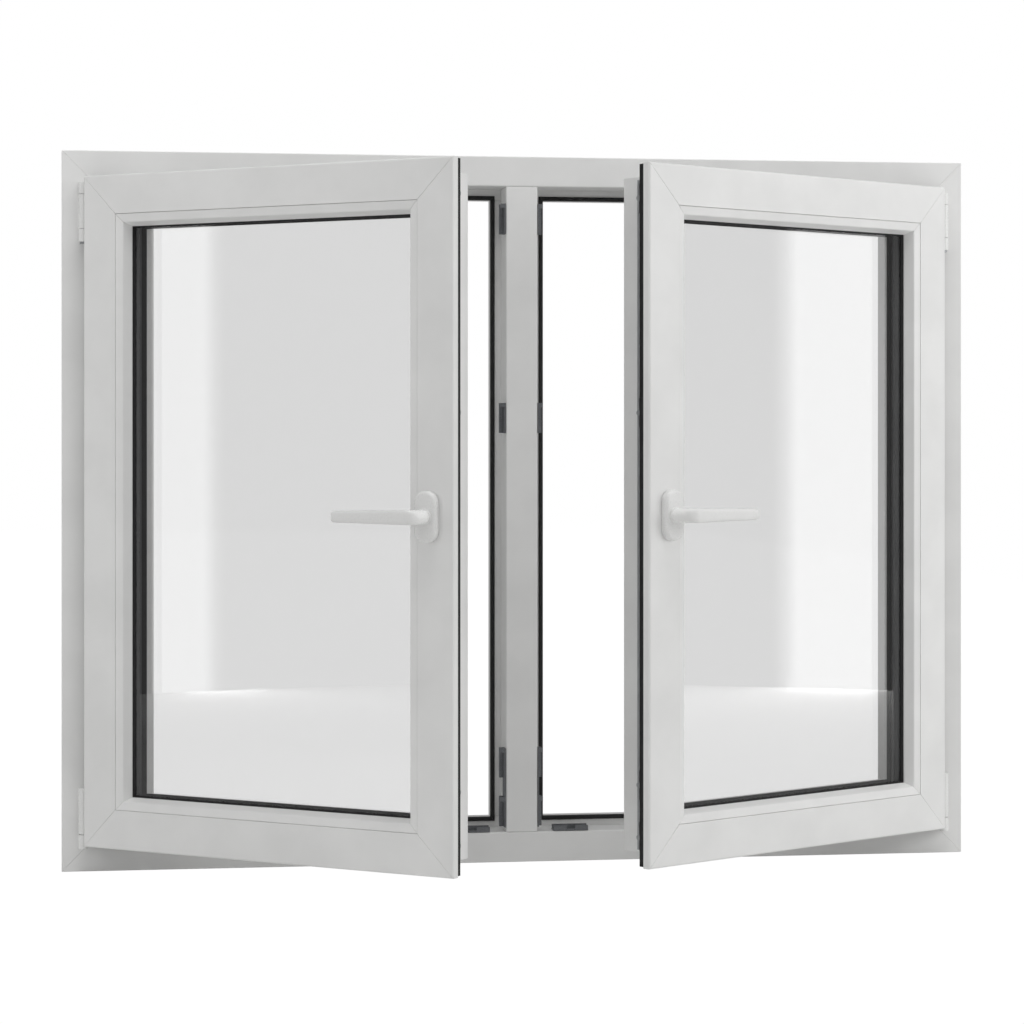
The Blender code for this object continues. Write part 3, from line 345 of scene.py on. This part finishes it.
def turned(profile, foot, place, axis="z", sides=40, shape=None):
    # A profile of (radius, height) spun about an axis through foot. shape(t) may vary the radius.
    profile = np.array(profile, float)
    t = np.linspace(0, math.tau, sides, endpoint=False)
    wave = shape(t) if shape else np.ones_like(t)
    a = profile[:, :1] * np.cos(t) * wave
    b = profile[:, :1] * np.sin(t) * wave
    h = np.broadcast_to(profile[:, 1:], a.shape)
    order = {"z": (a, b, h), "y": (a, h, b), "x": (h, a, b)}[axis]
    return loft(place(np.stack(order, -1) + np.array(foot)))


def makePiece(name, shells, look, body, replaced=(), crease=35):
    # one object from several closed skins, smooth but for edges sharper than crease degrees
    starts = np.cumsum([0] + [len(points) for points, _, _ in shells])
    points = np.concatenate([shell[0] for shell in shells])
    uv = np.concatenate([shell[2] for shell in shells])
    faces = [[corner + int(first) for corner in face]
             for (_, shellFaces, _), first in zip(shells, starts) for face in shellFaces]
    mesh = bpy.data.meshes.new(name)
    mesh.from_pydata(points.tolist(), [], faces)
    corners = np.empty(len(mesh.loops), np.int32)
    mesh.loops.foreach_get("vertex_index", corners)
    mesh.uv_layers.new(name="skin").data.foreach_set("uv", uv[corners].ravel())
    mesh.materials.append(finish[look])
    mesh.shade_smooth()
    mesh.set_sharp_from_angle(angle=math.radians(crease))
    made = bpy.data.objects.new(name, mesh)
    bpy.context.scene.collection.objects.link(made)
    even = made.modifiers.new("flat faces stay flat", "WEIGHTED_NORMAL")
    even.keep_sharp = True
    even.weight = 100
    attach(made, body)
    if replaced:
        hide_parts(*replaced)
    return made


# Outer frame

outer = {"width": 1.290, "height": 1.000, "depth": 0.070, "face": 0.0425, "mullion": 0.045,
         "stopRise": 0.016, "stopDepth": 0.017, "edge": 0.0012, "round": 0.0022, "rebate": 0.0005,
         "mullionRebate": 0.0004, "play": 0.0004}
roomY, outY = -outer["depth"] / 2, outer["depth"] / 2
stopY = outY - outer["stopDepth"]
stopReach = outer["face"] + outer["stopRise"]


def makeFrame():
    edge, soft = outer["edge"], outer["round"]
    section = outline([(0, roomY, edge), (outer["face"], roomY, soft),
                       (outer["face"], stopY, outer["rebate"]), (stopReach, stopY, edge),
                       (stopReach, outY, soft), (0, outY, edge)])
    wide, tall = outer["width"], outer["height"]
    for name, node, start, inwards, along, length in (
            ("jambLeft", "frame_jamb_left", (-wide / 2, 0, tall / 2), (1, 0, 0), axisZ, tall),
            ("jambRight", "frame_jamb_right", (wide / 2, 0, tall / 2), (-1, 0, 0), axisZ, tall),
            ("head", "frame_head", (0, 0, tall), (0, 0, -1), axisX, wide),
            ("sill", "frame_sill", (0, 0, 0), (0, 0, 1), axisX, wide)):
        member = bar(section, start, inwards, along, length)
        makePiece(name, [member], "upvc", "frame", [node])


def makeMullion():
    # a T-shaped post: its front runs between the rebate walls, its stops between the stops
    half, soft = outer["mullion"] / 2, outer["round"]
    wing = half + outer["stopRise"]
    sharp, play = outer["mullionRebate"], outer["play"]
    front = outline([(-half, roomY, soft), (half, roomY, soft), (half, stopY, sharp),
                     (-half, stopY, sharp)])
    back = outline([(-wing, stopY, outer["edge"]), (wing, stopY, outer["edge"]),
                    (wing, outY, soft), (-wing, outY, soft)])
    middle = (0, 0, outer["height"] / 2)
    shells = [bar(front, middle, (1, 0, 0), axisZ, outer["height"] - 2 * outer["face"] - play, end="butt"),
              bar(back, middle, (1, 0, 0), axisZ, outer["height"] - 2 * stopReach - play, end="butt")]
    makePiece("mullionPost", shells, "upvc", "frame", ["mullion"])


makeFrame()
makeMullion()
print("outer frame made")


# Leaves

swings = {row["name"]: row for row in frame["record"]["behaviour"]["joints"]}
leaf = {"x0": 0.0375, "x1": 0.6275, "z0": 0.0375, "z1": 0.9625, "faceY": -0.056, "lipDepth": 0.0125,
        "backY": 0.012, "rail": 0.054, "sight": 0.071, "flangeY": -0.0068, "overhang": 0.017,
        "grooveY": -0.026, "grooveWide": 0.012, "grooveDeep": 0.009, "round": 0.003}
leafRound = {"rail": 0.0007, "sight": 0.0012, "back": 0.003, "body": 0.002, "groove": 0.0003,
             "lipRoot": 0.0006, "lipBack": 0.0012}
hinge = {"x": 0.0295, "y": -0.046}


def leafPlace(side):
    # closed world point (hand (W / 2 - x), y, z), then turned about the hinge pin by the angle
    # that the swing's record leaves to its closed stop
    hand = {"left": -1, "right": 1}[side]
    turn = -math.radians(min(swings[f"{side}_swing"]["range_deg"])) * hand
    pin = np.array([hand * (outer["width"] / 2 - hinge["x"]), hinge["y"]])
    rotation = np.array([[math.cos(turn), -math.sin(turn)], [math.sin(turn), math.cos(turn)]])

    def place(points):
        points = np.asarray(points, float)
        flat = np.stack([hand * (outer["width"] / 2 - points[..., 0]), points[..., 1]], -1)
        flat = (flat - pin) @ rotation.T + pin
        return np.concatenate([flat, points[..., 2:]], -1)

    return place


def closedPlace(side):
    # the same mirroring, for pieces that stay on the frame
    hand = {"left": -1, "right": 1}[side]
    return lambda points: np.asarray(points, float) * (-hand, 1, 1) + (hand * outer["width"] / 2, 0, 0)


def sashSection(floor, grooveHalf):
    # (distance from the lip's edge, y), with a hardware groove of the given floor and half width
    low, high = leaf["grooveY"] - grooveHalf, leaf["grooveY"] + grooveHalf
    lipBack = leaf["faceY"] + leaf["lipDepth"]
    body, soft = leaf["overhang"], leafRound
    return outline([(0, leaf["faceY"], leaf["round"]), (leaf["rail"], leaf["faceY"], soft["rail"]),
                    (leaf["rail"], leaf["flangeY"], 0), (leaf["sight"], leaf["flangeY"], soft["sight"]),
                    (leaf["sight"], leaf["backY"], soft["back"]), (body, leaf["backY"], soft["body"]),
                    (body, high, soft["groove"]), (floor, high, 0), (floor, low, 0),
                    (body, low, soft["groove"]), (body, lipBack, soft["lipRoot"]),
                    (0, lipBack, soft["lipBack"])])


gearbox = {"back": 0.5764, "halfDeep": 0.0084, "low": 0.4572, "high": 0.5428, "step": 0.0001}


def makeSash(side, place):
    # four mitred members; the lock stile's groove is deeper where the gearbox sits
    x0, x1, z0, z1 = (leaf[key] for key in ("x0", "x1", "z0", "z1"))
    midX, midZ, wide, tall = (x0 + x1) / 2, (z0 + z1) / 2, x1 - x0, z1 - z0
    plain = sashSection(leaf["overhang"] + leaf["grooveDeep"], leaf["grooveWide"] / 2)
    pocket = sashSection(x1 - gearbox["back"], gearbox["halfDeep"])
    low, high = gearbox["low"] - midZ, gearbox["high"] - midZ
    step = gearbox["step"]
    mortise = [(low, plain), (low + step, pocket), (high - step, pocket), (high, plain)]
    for name, start, inwards, along, length, middle in (
            ("hinge_stile", (x0, 0, midZ), (1, 0, 0), axisZ, tall, ()),
            ("lock_stile", (x1, 0, midZ), (-1, 0, 0), axisZ, tall, mortise),
            ("top_rail", (midX, 0, z1), (0, 0, -1), axisX, wide, ()),
            ("bottom_rail", (midX, 0, z0), (0, 0, 1), axisX, wide, ())):
        member = bar(plain, start, inwards, along, length, middle, place=place)
        makePiece(f"{side}_{name}_skin", [member], "upvc", f"{side}_sash",
                  [f"{side}_{name}"])


bead = {"gap": 0.0003, "sink": 0.0006, "fall": 0.0018, "nose": 0.0052, "footY": -0.0375, "foot": 0.002,
        "edge": 0.0008, "round": 0.0026, "heel": 0.0006, "relief": 0.0008, "groove": 0.0003}


def makeBead(side, place):
    # snap-in glazing bead: a front band that leans back, a rounded nose and a slanted inner wall
    front = leaf["faceY"] + bead["sink"]
    start = leaf["rail"] + bead["gap"]
    section = outline([(start, front, bead["edge"]),
                       (leaf["sight"] - bead["nose"], front + bead["fall"], bead["round"]),
                       (leaf["sight"], bead["footY"] - bead["foot"], bead["heel"]),
                       (leaf["sight"] - bead["relief"], bead["footY"], 0), (start, bead["footY"], 0)])
    shells = fourSides(section, leaf["x0"], leaf["x1"], leaf["z0"], leaf["z1"], place, bead["groove"])
    makePiece(f"{side}_bead", shells, "upvc", f"{side}_sash", [f"{side}_glazing_bead"])


glazing = {"inset": 0.0585, "y": -0.034, "pane": 0.004, "cavity": 0.016, "arris": 0.0005,
           "bite": 0.0645, "lip": 0.0732, "spacerTop": 0.070, "gap": 0.0003, "shoulder": 0.0022,
           "channel": 0.0018, "channelDeep": 0.0007, "channelFloor": 0.0012,
           "wedgeIn": 0.0004, "wedgeRise": 0.0016, "wedgeRound": 0.0009, "groove": 0.0001}


def makeGlazing(side, place):
    body = f"{side}_sash"
    ring = (leaf["x0"], leaf["x1"], leaf["z0"], leaf["z1"], place)
    first, second = glazing["y"], glazing["y"] + glazing["pane"] + glazing["cavity"]
    gap = glazing["gap"]
    for name, clamp, face, sign in (
            ("inner", bead["footY"] + gap, first - gap, 1),
            ("outer", leaf["flangeY"] - gap, second + glazing["pane"] + gap, -1)):
        # wedge gasket: a foot in the profile and a round lip that lies on the glass
        rise = face - sign * glazing["wedgeRise"]
        section = outline([(glazing["bite"], clamp, 0), (leaf["sight"] - glazing["wedgeIn"], clamp, 0.0003),
                           (glazing["lip"] - 0.0002, rise, glazing["wedgeRound"]),
                           (glazing["lip"], face, 0.0002), (glazing["bite"], face, 0)], 6)
        shells = fourSides(section, *ring, glazing["groove"])
        makePiece(f"{side}_{name}_wedge", shells, "epdm", body,
                  [f"{side}_{name}_glazing_gasket"])
    # spacer bar with drawn-in shoulders and a shallow channel along its visible face
    low, high = first + glazing["pane"] + gap, second - gap
    foot, top, mid = glazing["inset"] + gap, glazing["spacerTop"], (low + high) / 2
    shoulder, wide, floor = glazing["shoulder"], glazing["channel"], glazing["channelFloor"]
    sunk = top - glazing["channelDeep"]
    section = outline([(foot, low, 0), (top - shoulder, low, 0.0008), (top, low + shoulder, 0.0008),
                       (top, mid - wide, 0.0003), (sunk, mid - floor, 0.0003),
                       (sunk, mid + floor, 0.0003), (top, mid + wide, 0.0003),
                       (top, high - shoulder, 0.0008), (top - shoulder, high, 0.0008),
                       (foot, high, 0)], 4)
    makePiece(f"{side}_spacer", fourSides(section, *ring, glazing["groove"]), "spacer", body,
              [f"{side}_glass_spacer"])
    # two panes with ground arrises
    for name, y in (("inner", first), ("outer", second)):
        x0, x1 = leaf["x0"] + glazing["inset"], leaf["x1"] - glazing["inset"]
        z0, z1 = leaf["z0"] + glazing["inset"], leaf["z1"] - glazing["inset"]
        pane = slab(x0, x1, z0, z1, y, y + glazing["pane"], glazing["arris"], place, 0.001, axes="xzy")
        makePiece(f"{side}_{name}_glass", [pane], "glass", body, [f"{side}_{name}_pane"])


# distances from the rebate wall, and rises above the stop
gasket = {"foot": 0.0095, "bulb": 0.0118, "nose": 0.0152, "lip": 0.0159, "base": 0.0003, "heel": 0.0035,
          "bulbRise": 0.0057, "noseRise": 0.0052}


def makeSeals(side):
    # frame gasket: a clipped foot and a soft bulb towards the sash
    wallEnd = outer["width"] / 2 - outer["mullion"] / 2
    base = stopY - gasket["base"]
    section = outline([(gasket["foot"], base, 0), (gasket["foot"], stopY - gasket["heel"], 0.001),
                       (gasket["bulb"], stopY - gasket["bulbRise"], 0.0014),
                       (gasket["nose"], stopY - gasket["noseRise"], 0.0012),
                       (gasket["lip"], base, 0.0003)], 6)
    shells = fourSides(section, outer["face"], wallEnd, outer["face"], outer["height"] - outer["face"],
                       closedPlace(side), 0.0001)
    makePiece(f"{side}_rebate_gasket", shells, "epdm", "frame", [f"{side}_frame_seal"])


sides = ("left", "right")
for side in sides:
    place = leafPlace(side)
    makeSash(side, place)
    makeBead(side, place)
    makeGlazing(side, place)
    makeSeals(side)
print("leaves made")


# Hinges

pinHinge = {"radius": 0.0063, "bore": 0.0033, "edge": 0.0007, "sleeveTop": 0.9385, "topSleeve": 0.048,
            "topLug": 0.016, "lowLug": 0.018, "standoff": 0.011, "cupLow": 0.0375, "collar": 0.0152,
            "gap": 0.0013, "bottomSleeve": 0.063, "ballZ": 0.040, "pin": 0.003, "touch": 0.0003,
            "turnedLine": 0.0035, "lineHalf": 0.0003, "lineDeep": 0.00025, "lugEdge": 0.0006,
            "cupDrop": 0.0042}
# straps and plates: x from, x to, y from, y to
strap = {"root": (0.0298, 0.0343, -0.043, -0.0354), "stay": (0.030, 0.052, -0.0373, -0.0353),
         "riser": (0.0368, 0.0518, -0.0372, -0.0354), "arm": (0.0475, 0.2795, -0.0375, -0.026),
         "knuckle": (0.030, 0.0542, -0.0373, -0.0353), "turnedIn": (0.0522, 0.0541, -0.0372, -0.032),
         "backWide": 0.0054, "backY": (-0.0369, -0.0353), "armZ": 0.948, "armThick": 0.0025}


def sleeve(low, high, place):
    # a barrel with rounded rims; a fine turned line near each end catches the light
    r, e = pinHinge["radius"], pinHinge["edge"]
    line, half = pinHinge["turnedLine"], pinHinge["lineHalf"]
    turn = np.linspace(0, math.pi / 2, 5)
    rim = np.stack([r - e + e * np.sin(turn), e - e * np.cos(turn)], -1)
    wall = [(r, line - half), (r - pinHinge["lineDeep"], line), (r, line + half)]
    lower = np.concatenate([[(pinHinge["bore"], 0)], rim, wall])
    upper = lower[::-1] * (1, -1) + (0, high - low)
    profile = np.concatenate([lower, upper])
    return turned(profile, (hinge["x"], hinge["y"], low), place)


def lug(low, high, place):
    # a fixed lug: half round in front and flat where it stands on the frame, with rounded rims
    r, e = pinHinge["radius"], pinHinge["lugEdge"]
    back = pinHinge["standoff"] - pinHinge["touch"]
    t = np.linspace(math.pi, math.tau, 25)
    turn = np.linspace(0, math.pi / 2, 5)
    heights = np.concatenate([low + e * (1 - np.sin(turn)[::-1]), high - e * (1 - np.sin(turn))])
    draws = np.concatenate([e * (1 - np.cos(turn)[::-1]), e * (1 - np.cos(turn))])
    rings = []
    for z, d in zip(heights, draws):
        arc = np.stack([(r - d) * np.cos(t), (r - d) * np.sin(t)], -1)
        ring = np.concatenate([arc, [(r - d, back), (d - r, back)]])
        rings.append(np.column_stack([ring + (hinge["x"], hinge["y"]), np.full(len(ring), z)]))
    return loft(place(np.array(rings)))


def makeHinges(side, place, fixed):
    top, bottom = pinHinge["sleeveTop"], pinHinge["cupLow"] + pinHinge["collar"]
    low, touch = top - pinHinge["topSleeve"], pinHinge["touch"]
    backX = hinge["x"] - pinHinge["radius"]
    shells = [lug(top + touch, top + pinHinge["topLug"], fixed),
              lug(low - pinHinge["lowLug"], low - touch, fixed),
              slab(backX, backX + strap["backWide"], *strap["backY"], low - pinHinge["lowLug"] + 0.001,
                   top + pinHinge["topLug"] - 0.001, 0.0003, fixed)]
    makePiece(f"{side}_top_bearing", shells, "enamel", "frame", [f"{side}_top_hinge_bearing"])
    armZ, armTop = strap["armZ"], strap["armZ"] + strap["armThick"]
    shells = [sleeve(low + touch, top - touch, place),
              slab(*strap["root"], top - 0.032, top - 0.001, 0.0005, place),
              slab(*strap["stay"], top - 0.033, top - 0.002, 0.0006, place, 0.0009),
              slab(*strap["riser"], top - 0.031, armTop - 0.0001, 0.0005, place),
              slab(*strap["arm"], armZ, armTop, 0.0007, place, 0.003)]
    makePiece(f"{side}_stay", shells, "enamel", f"{side}_stay", [f"{side}_stay_arm"])
    cup = lug(pinHinge["cupLow"] - pinHinge["cupDrop"], bottom, fixed)
    makePiece(f"{side}_hinge_cup", [cup], "enamel", "frame",
              [f"{side}_bottom_hinge_bearing"])
    low, high = bottom + pinHinge["gap"], bottom + pinHinge["gap"] + pinHinge["bottomSleeve"]
    pin = turned([(0.0022, 0), (pinHinge["pin"], 0.001), (pinHinge["pin"], low - pinHinge["ballZ"] + 0.001)],
                 (hinge["x"], hinge["y"], pinHinge["ballZ"]), place, sides=24)
    shells = [sleeve(low, high, place), pin,
              slab(*strap["root"], low + 0.005, high - 0.005, 0.0005, place),
              slab(*strap["knuckle"], low + 0.004, high - 0.004, 0.0006, place, 0.0009),
              slab(*strap["turnedIn"], low + 0.0042, high - 0.0042, 0.0005, place)]
    makePiece(f"{side}_bottom_sleeve", shells, "enamel", f"{side}_sash",
              [f"{side}_bottom_hinge_knuckle"])


# Handle

handle = {"x": 0.5895, "z": 0.500, "roseWide": 0.033, "roseTall": 0.067, "roseDeep": 0.010,
          "rim": 0.0022, "corner": 0.0158, "neck": 0.0094, "reach": 0.113, "standoff": 0.037,
          "thick": 0.011, "tip": 0.0072, "bend": 0.0095, "spindle": 0.0035, "flatten": 2.2,
          "touch": 0.0003, "spindleEnd": -0.021,
          "tipPower": 2.4, "tipDepth": 0.35}
# (drawn in, rise above the sash) up the rosette's bevelled rim
roseRim = [(0.0, 0.0), (0.0, 0.0062), (0.0004, 0.0072), (0.0018, 0.0088), (0.0024, 0.0094),
           (0.0034, 0.0098), (0.0044, handle["roseDeep"])]


def makeRosette(side, place):
    # an oval plate: rings of a rounded rectangle that draw in over the bevelled rim
    back = leaf["faceY"] - handle["touch"]
    rings = []
    for draw, rise in roseRim:
        a, b = handle["roseWide"] / 2 - draw, handle["roseTall"] / 2 - draw
        corner = handle["corner"] - draw
        ring = outline([(-a, -b, corner), (a, -b, corner), (a, b, corner), (-a, b, corner)], 14)
        rings.append(np.column_stack([ring[:, 0] + handle["x"], np.full(len(ring), back - rise),
                                      ring[:, 1] + handle["z"]]))
    makePiece(f"{side}_rosette", [loft(place(np.array(rings)))], "enamel", f"{side}_sash",
              [f"{side}_handle_rosette"])


def makeLever(side, place):
    # A superellipse |a / A| ** n + |b / B| ** n = 1 carried out of the rosette, round a bend and
    # along the grip. A is half its depth, B half its height, and n grows as the grip flattens.
    top = leaf["faceY"] - handle["roseDeep"] - 0.0004
    gripY = leaf["faceY"] - handle["standoff"] - handle["thick"] / 2
    bend = handle["bend"]
    turn = np.linspace(0, math.pi / 2, 13)
    neck = np.linspace(top, gripY + bend, 6)[:-1]
    path = [(0.0, y) for y in neck]
    path += [(-bend + bend * math.cos(t), gripY + bend - bend * math.sin(t)) for t in turn]
    along = np.linspace(-bend, -handle["reach"] - handle["tip"], 40)[1:]
    path += [(x, gripY) for x in along]
    path = np.array(path)
    heading = np.concatenate([np.tile([[0.0, -1.0]], (len(neck), 1)),
                              np.stack([-np.sin(turn), -np.cos(turn)], -1),
                              np.tile([[-1.0, 0.0]], (len(along), 1))])
    share = np.clip(np.concatenate([np.zeros(len(neck)), turn / (math.pi / 2), np.ones(len(along))]), 0, 1)
    gone = np.clip(-(path[:, 0] + bend) / (handle["reach"] - bend), 0, None)
    tall = handle["neck"] + (handle["tip"] + 0.0004 - handle["neck"]) * np.clip(gone, 0, 1)
    deep = handle["neck"] * (1 - share) + handle["thick"] / 2 * share
    power = 2 + handle["flatten"] * share
    left = np.clip((path[:, 0] + handle["reach"] + handle["tip"]) / (handle["tip"]), 0, 1)
    domed = np.sqrt(np.clip(1 - (1 - left) ** handle["tipPower"], 0, 1))
    close = np.where(path[:, 0] < -handle["reach"], domed, 1.0)
    close = np.maximum(close, 0.02)
    t = np.linspace(0, math.tau, 48, endpoint=False)
    c, s = np.cos(t)[None], np.sin(t)[None]
    radius = (np.abs(c) ** power[:, None] + np.abs(s) ** power[:, None]) ** (-1 / power[:, None])
    thin = handle["tipDepth"]
    a = deep[:, None] * (thin + (1 - thin) * close[:, None]) * radius * c
    a = np.where(close[:, None] < 0.05, a * 0.1, a)
    b = (tall * close)[:, None] * radius * s
    across = np.stack([-heading[:, 1], heading[:, 0]], -1)
    flat = path[:, None] + a[..., None] * across[:, None]
    rings = np.stack([flat[..., 0] + handle["x"], flat[..., 1], b + handle["z"]], -1)
    collar = turned([(handle["neck"], 0), (handle["neck"] + 0.0016, 0.0), (handle["neck"] + 0.0016, -0.0012),
                     (handle["neck"] + 0.0008, -0.002), (handle["neck"] - 0.0004, -0.0022)],
                    (handle["x"], top, handle["z"]), place, "y", 48)
    half = handle["spindle"]
    spindle = slab(handle["x"] - half, handle["x"] + half, handle["z"] - half, handle["z"] + half,
                   top - 0.001, handle["spindleEnd"], 0.0004, place, axes="xzy")
    shells = [loft(place(rings)), collar, spindle]
    makePiece(f"{side}_lever", shells, "enamel", f"{side}_handle", [f"{side}_handle_lever"])


# Screws

def screw(centre, axis, sign, radius, place):
    # a countersunk head with a six-lobed recess, r = r0 (1 + 0.16 cos 6 t)
    head = [(radius * 0.7, -0.0006), (radius, 0.0), (radius * 0.96, 0.00025), (radius * 0.55, 0.0004)]
    ring = turned(np.array(head) * (1, sign), centre, place, axis, 30)
    recess = [(radius * 0.5, 0.0001), (radius * 0.5, 0.00045), (radius * 0.44, 0.0005)]
    lobes = turned(np.array(recess) * (1, sign), centre, place, axis, 36,
                   lambda t: 1 + 0.16 * np.cos(6 * t))
    return [ring, lobes]


plate = {"x": 0.6108, "thick": 0.0027, "screw": 0.0033,
         "screwZ": (0.110, 0.200, 0.320, 0.445, 0.486, 0.514, 0.555, 0.700, 0.790, 0.860)}


def makeScrews(side, place):
    face = plate["x"] + plate["thick"]
    shells = []
    for z in plate["screwZ"]:
        shells += screw((face, leaf["grooveY"], z), "x", 1, plate["screw"], place)
    makePiece(f"{side}_plate_screws", shells, "screw", f"{side}_sash")


for side in sides:
    place, fixed = leafPlace(side), closedPlace(side)
    makeHinges(side, place, fixed)
    makeRosette(side, place)
    makeLever(side, place)
    makeScrews(side, place)
print("hardware made")


# Carried-over nodes: working parts whose shape is already right

carried = {"zinc": ["mullion_reinforcement", "top_hinge_pin", "espagnolette_case", "drive_rod",
                    "bottom_bolt"],
           "cast": ["drive_pinion", "top_keep", "middle_keep", "lower_keep", "sill_keep"],
           "epdm": ["sash_seal"]}
for look, names in carried.items():
    for name in names:
        for node in [name] if name in frame["nodes"] else [f"{side}_{name}" for side in sides]:
            mesh = frame["nodes"][node].data
            mesh.materials.clear()
            mesh.materials.append(finish[look])
print("carried-over nodes finished")


# Stage, lights and camera

stage = {"halfWide": 3.2, "near": -7.0, "far": 14.0, "floor": "#F4F4F3", "seen": 1.0, "glow": 0.0,
         "wall": "#FFFFFF", "wallLight": 0.30, "whiteGlow": 1.02}


def makeFloor():
    # a pale plain floor: even white straight to the camera, lit paint in reflections and shade
    made, tree, shader = newMaterial("pale studio floor", {"Roughness": 0.6})
    shader.inputs["Base Color"].default_value = linear(stage["floor"])
    shader.inputs["Specular IOR Level"].default_value = 0.1
    glow = addNode(tree, "ShaderNodeEmission", {"Color": (1, 1, 1, 1), "Strength": stage["whiteGlow"]})
    seen = addNode(tree, "ShaderNodeLightPath")
    share = addNode(tree, "ShaderNodeMapRange", {"To Min": stage["glow"], "To Max": stage["seen"]},
                    {"Value": seen.outputs["Is Camera Ray"]})
    mixed = addNode(tree, "ShaderNodeMixShader", {}, {0: share.outputs["Result"], 1: shader.outputs["BSDF"],
                                                       2: glow.outputs["Emission"]})
    tree.links.new(mixed.outputs["Shader"], tree.nodes["Material Output"].inputs["Surface"])
    w, near, far = stage["halfWide"], stage["near"], stage["far"]
    mesh = bpy.data.meshes.new("floor")
    mesh.from_pydata([(-w, near, 0), (w, near, 0), (w, far, 0), (-w, far, 0)], [], [(0, 1, 2, 3)])
    mesh.materials.append(made)
    floor = bpy.data.objects.new("floor", mesh)
    bpy.context.scene.collection.objects.link(floor)


# tall white cards, seen only in reflections: x, near and far y, glow
cards = {"cardLeft": (-3.2, -1.045, -0.890, 1.7), "cardRight": (3.2, -0.763, -0.523, 2.0)}
card = {"low": 0.0, "high": 2.3, "soft": 0.030}


def makeCards():
    # an upright sheet facing the window; its near edge fades over a few centimetres
    for name, (x, near, far, glowing) in cards.items():
        made = bpy.data.materials.new(f"{name} paper")
        made.use_nodes = True
        tree = made.node_tree
        tree.nodes.clear()
        place = addNode(tree, "ShaderNodeTexCoord")
        along = addNode(tree, "ShaderNodeSeparateXYZ", {}, {"Vector": place.outputs["Object"]})
        fade = addNode(tree, "ShaderNodeMapRange", {"From Min": near, "From Max": near + card["soft"]},
                       {"Value": along.outputs["Y"]})
        lit = addNode(tree, "ShaderNodeEmission", {"Color": (1, 1, 1, 1), "Strength": glowing})
        clear = addNode(tree, "ShaderNodeBsdfTransparent")
        mixed = addNode(tree, "ShaderNodeMixShader", {}, {0: fade.outputs["Result"], 1: clear.outputs["BSDF"],
                                                           2: lit.outputs["Emission"]})
        addNode(tree, "ShaderNodeOutputMaterial", {}, {"Surface": mixed.outputs["Shader"]})
        mesh = bpy.data.meshes.new(name)
        low, high = card["low"], card["high"]
        mesh.from_pydata([(x, near, low), (x, far, low), (x, far, high), (x, near, high)], [], [(0, 1, 2, 3)])
        mesh.materials.append(made)
        sheet = bpy.data.objects.new(name, mesh)
        sheet.visible_camera = False
        sheet.visible_diffuse = False
        sheet.visible_shadow = False
        bpy.context.scene.collection.objects.link(sheet)


def makeWorld():
    # white behind the object, and a softer grey for light and reflections
    world = bpy.data.worlds.new("studio")
    bpy.context.scene.world = world
    world.use_nodes = True
    tree = world.node_tree
    tree.nodes.clear()
    lit = addNode(tree, "ShaderNodeBackground", {"Color": linear(stage["wall"]),
                                                 "Strength": stage["wallLight"]})
    white = addNode(tree, "ShaderNodeBackground", {"Color": (1, 1, 1, 1), "Strength": 1.0})
    seen = addNode(tree, "ShaderNodeLightPath")
    mixed = addNode(tree, "ShaderNodeMixShader", {},
                    {0: seen.outputs["Is Camera Ray"], 1: lit.outputs["Background"],
                     2: white.outputs["Background"]})
    addNode(tree, "ShaderNodeOutputWorld", {}, {"Surface": mixed.outputs["Shader"]})


# name: (place, point it faces, width, height, watts)
lamps = {
    "keyRight": ((2.2, -3.6, 2.4), (0.2, -0.2, 0.5), 1.4, 1.4, 7),
    "nearLeft": ((-1.5, -1.0, 0.9), (-0.5, -0.1, 0.5), 0.5, 1.4, 1.6),
    "top": ((0.0, -1.0, 2.8), (0.0, -0.2, 0.4), 2.4, 1.2, 23),
    "wingRight": ((3.0, -1.9, 1.4), (0.5, -0.2, 0.5), 0.9, 1.6, 17),
    "bandLeft": ((-3.2, -1.05, 1.15), (0.0, -1.05, 1.15), 0.2, 2.3, 10),
    "bandRight": ((3.2, -0.64, 1.15), (0.0, -0.64, 1.15), 0.24, 2.3, 15),
}


def makeLights():
    for name, (place, aim, wide, tall, power) in lamps.items():
        light = bpy.data.lights.new(name, "AREA")
        light.shape = "RECTANGLE"
        light.size, light.size_y, light.energy = wide, tall, power
        made = bpy.data.objects.new(name, light)
        made.location = place
        made.rotation_euler = (Vector(aim) - Vector(place)).to_track_quat("-Z", "Y").to_euler()
        made.visible_camera = False
        made.visible_glossy = not name.startswith(("near", "band"))
        bpy.context.scene.collection.objects.link(made)


view = {"place": (-0.6045, -4.0216, 0.6042), "yaw": 8.422, "lens": 99.937, "shiftY": -0.0744,
        "sensor": 36}


def makeCamera():
    data = bpy.data.cameras.new("camera")
    data.sensor_width = view["sensor"]
    data.lens = view["lens"]
    data.shift_y = view["shiftY"]
    made = bpy.data.objects.new("camera", data)
    made.location = view["place"]
    made.rotation_euler = (math.pi / 2, 0, -math.radians(view["yaw"]))
    bpy.context.scene.collection.objects.link(made)
    bpy.context.scene.camera = made


makeFloor()
makeCards()
makeWorld()
makeLights()
makeCamera()
bpy.context.scene.view_settings.view_transform = "Standard"
print("stage made")
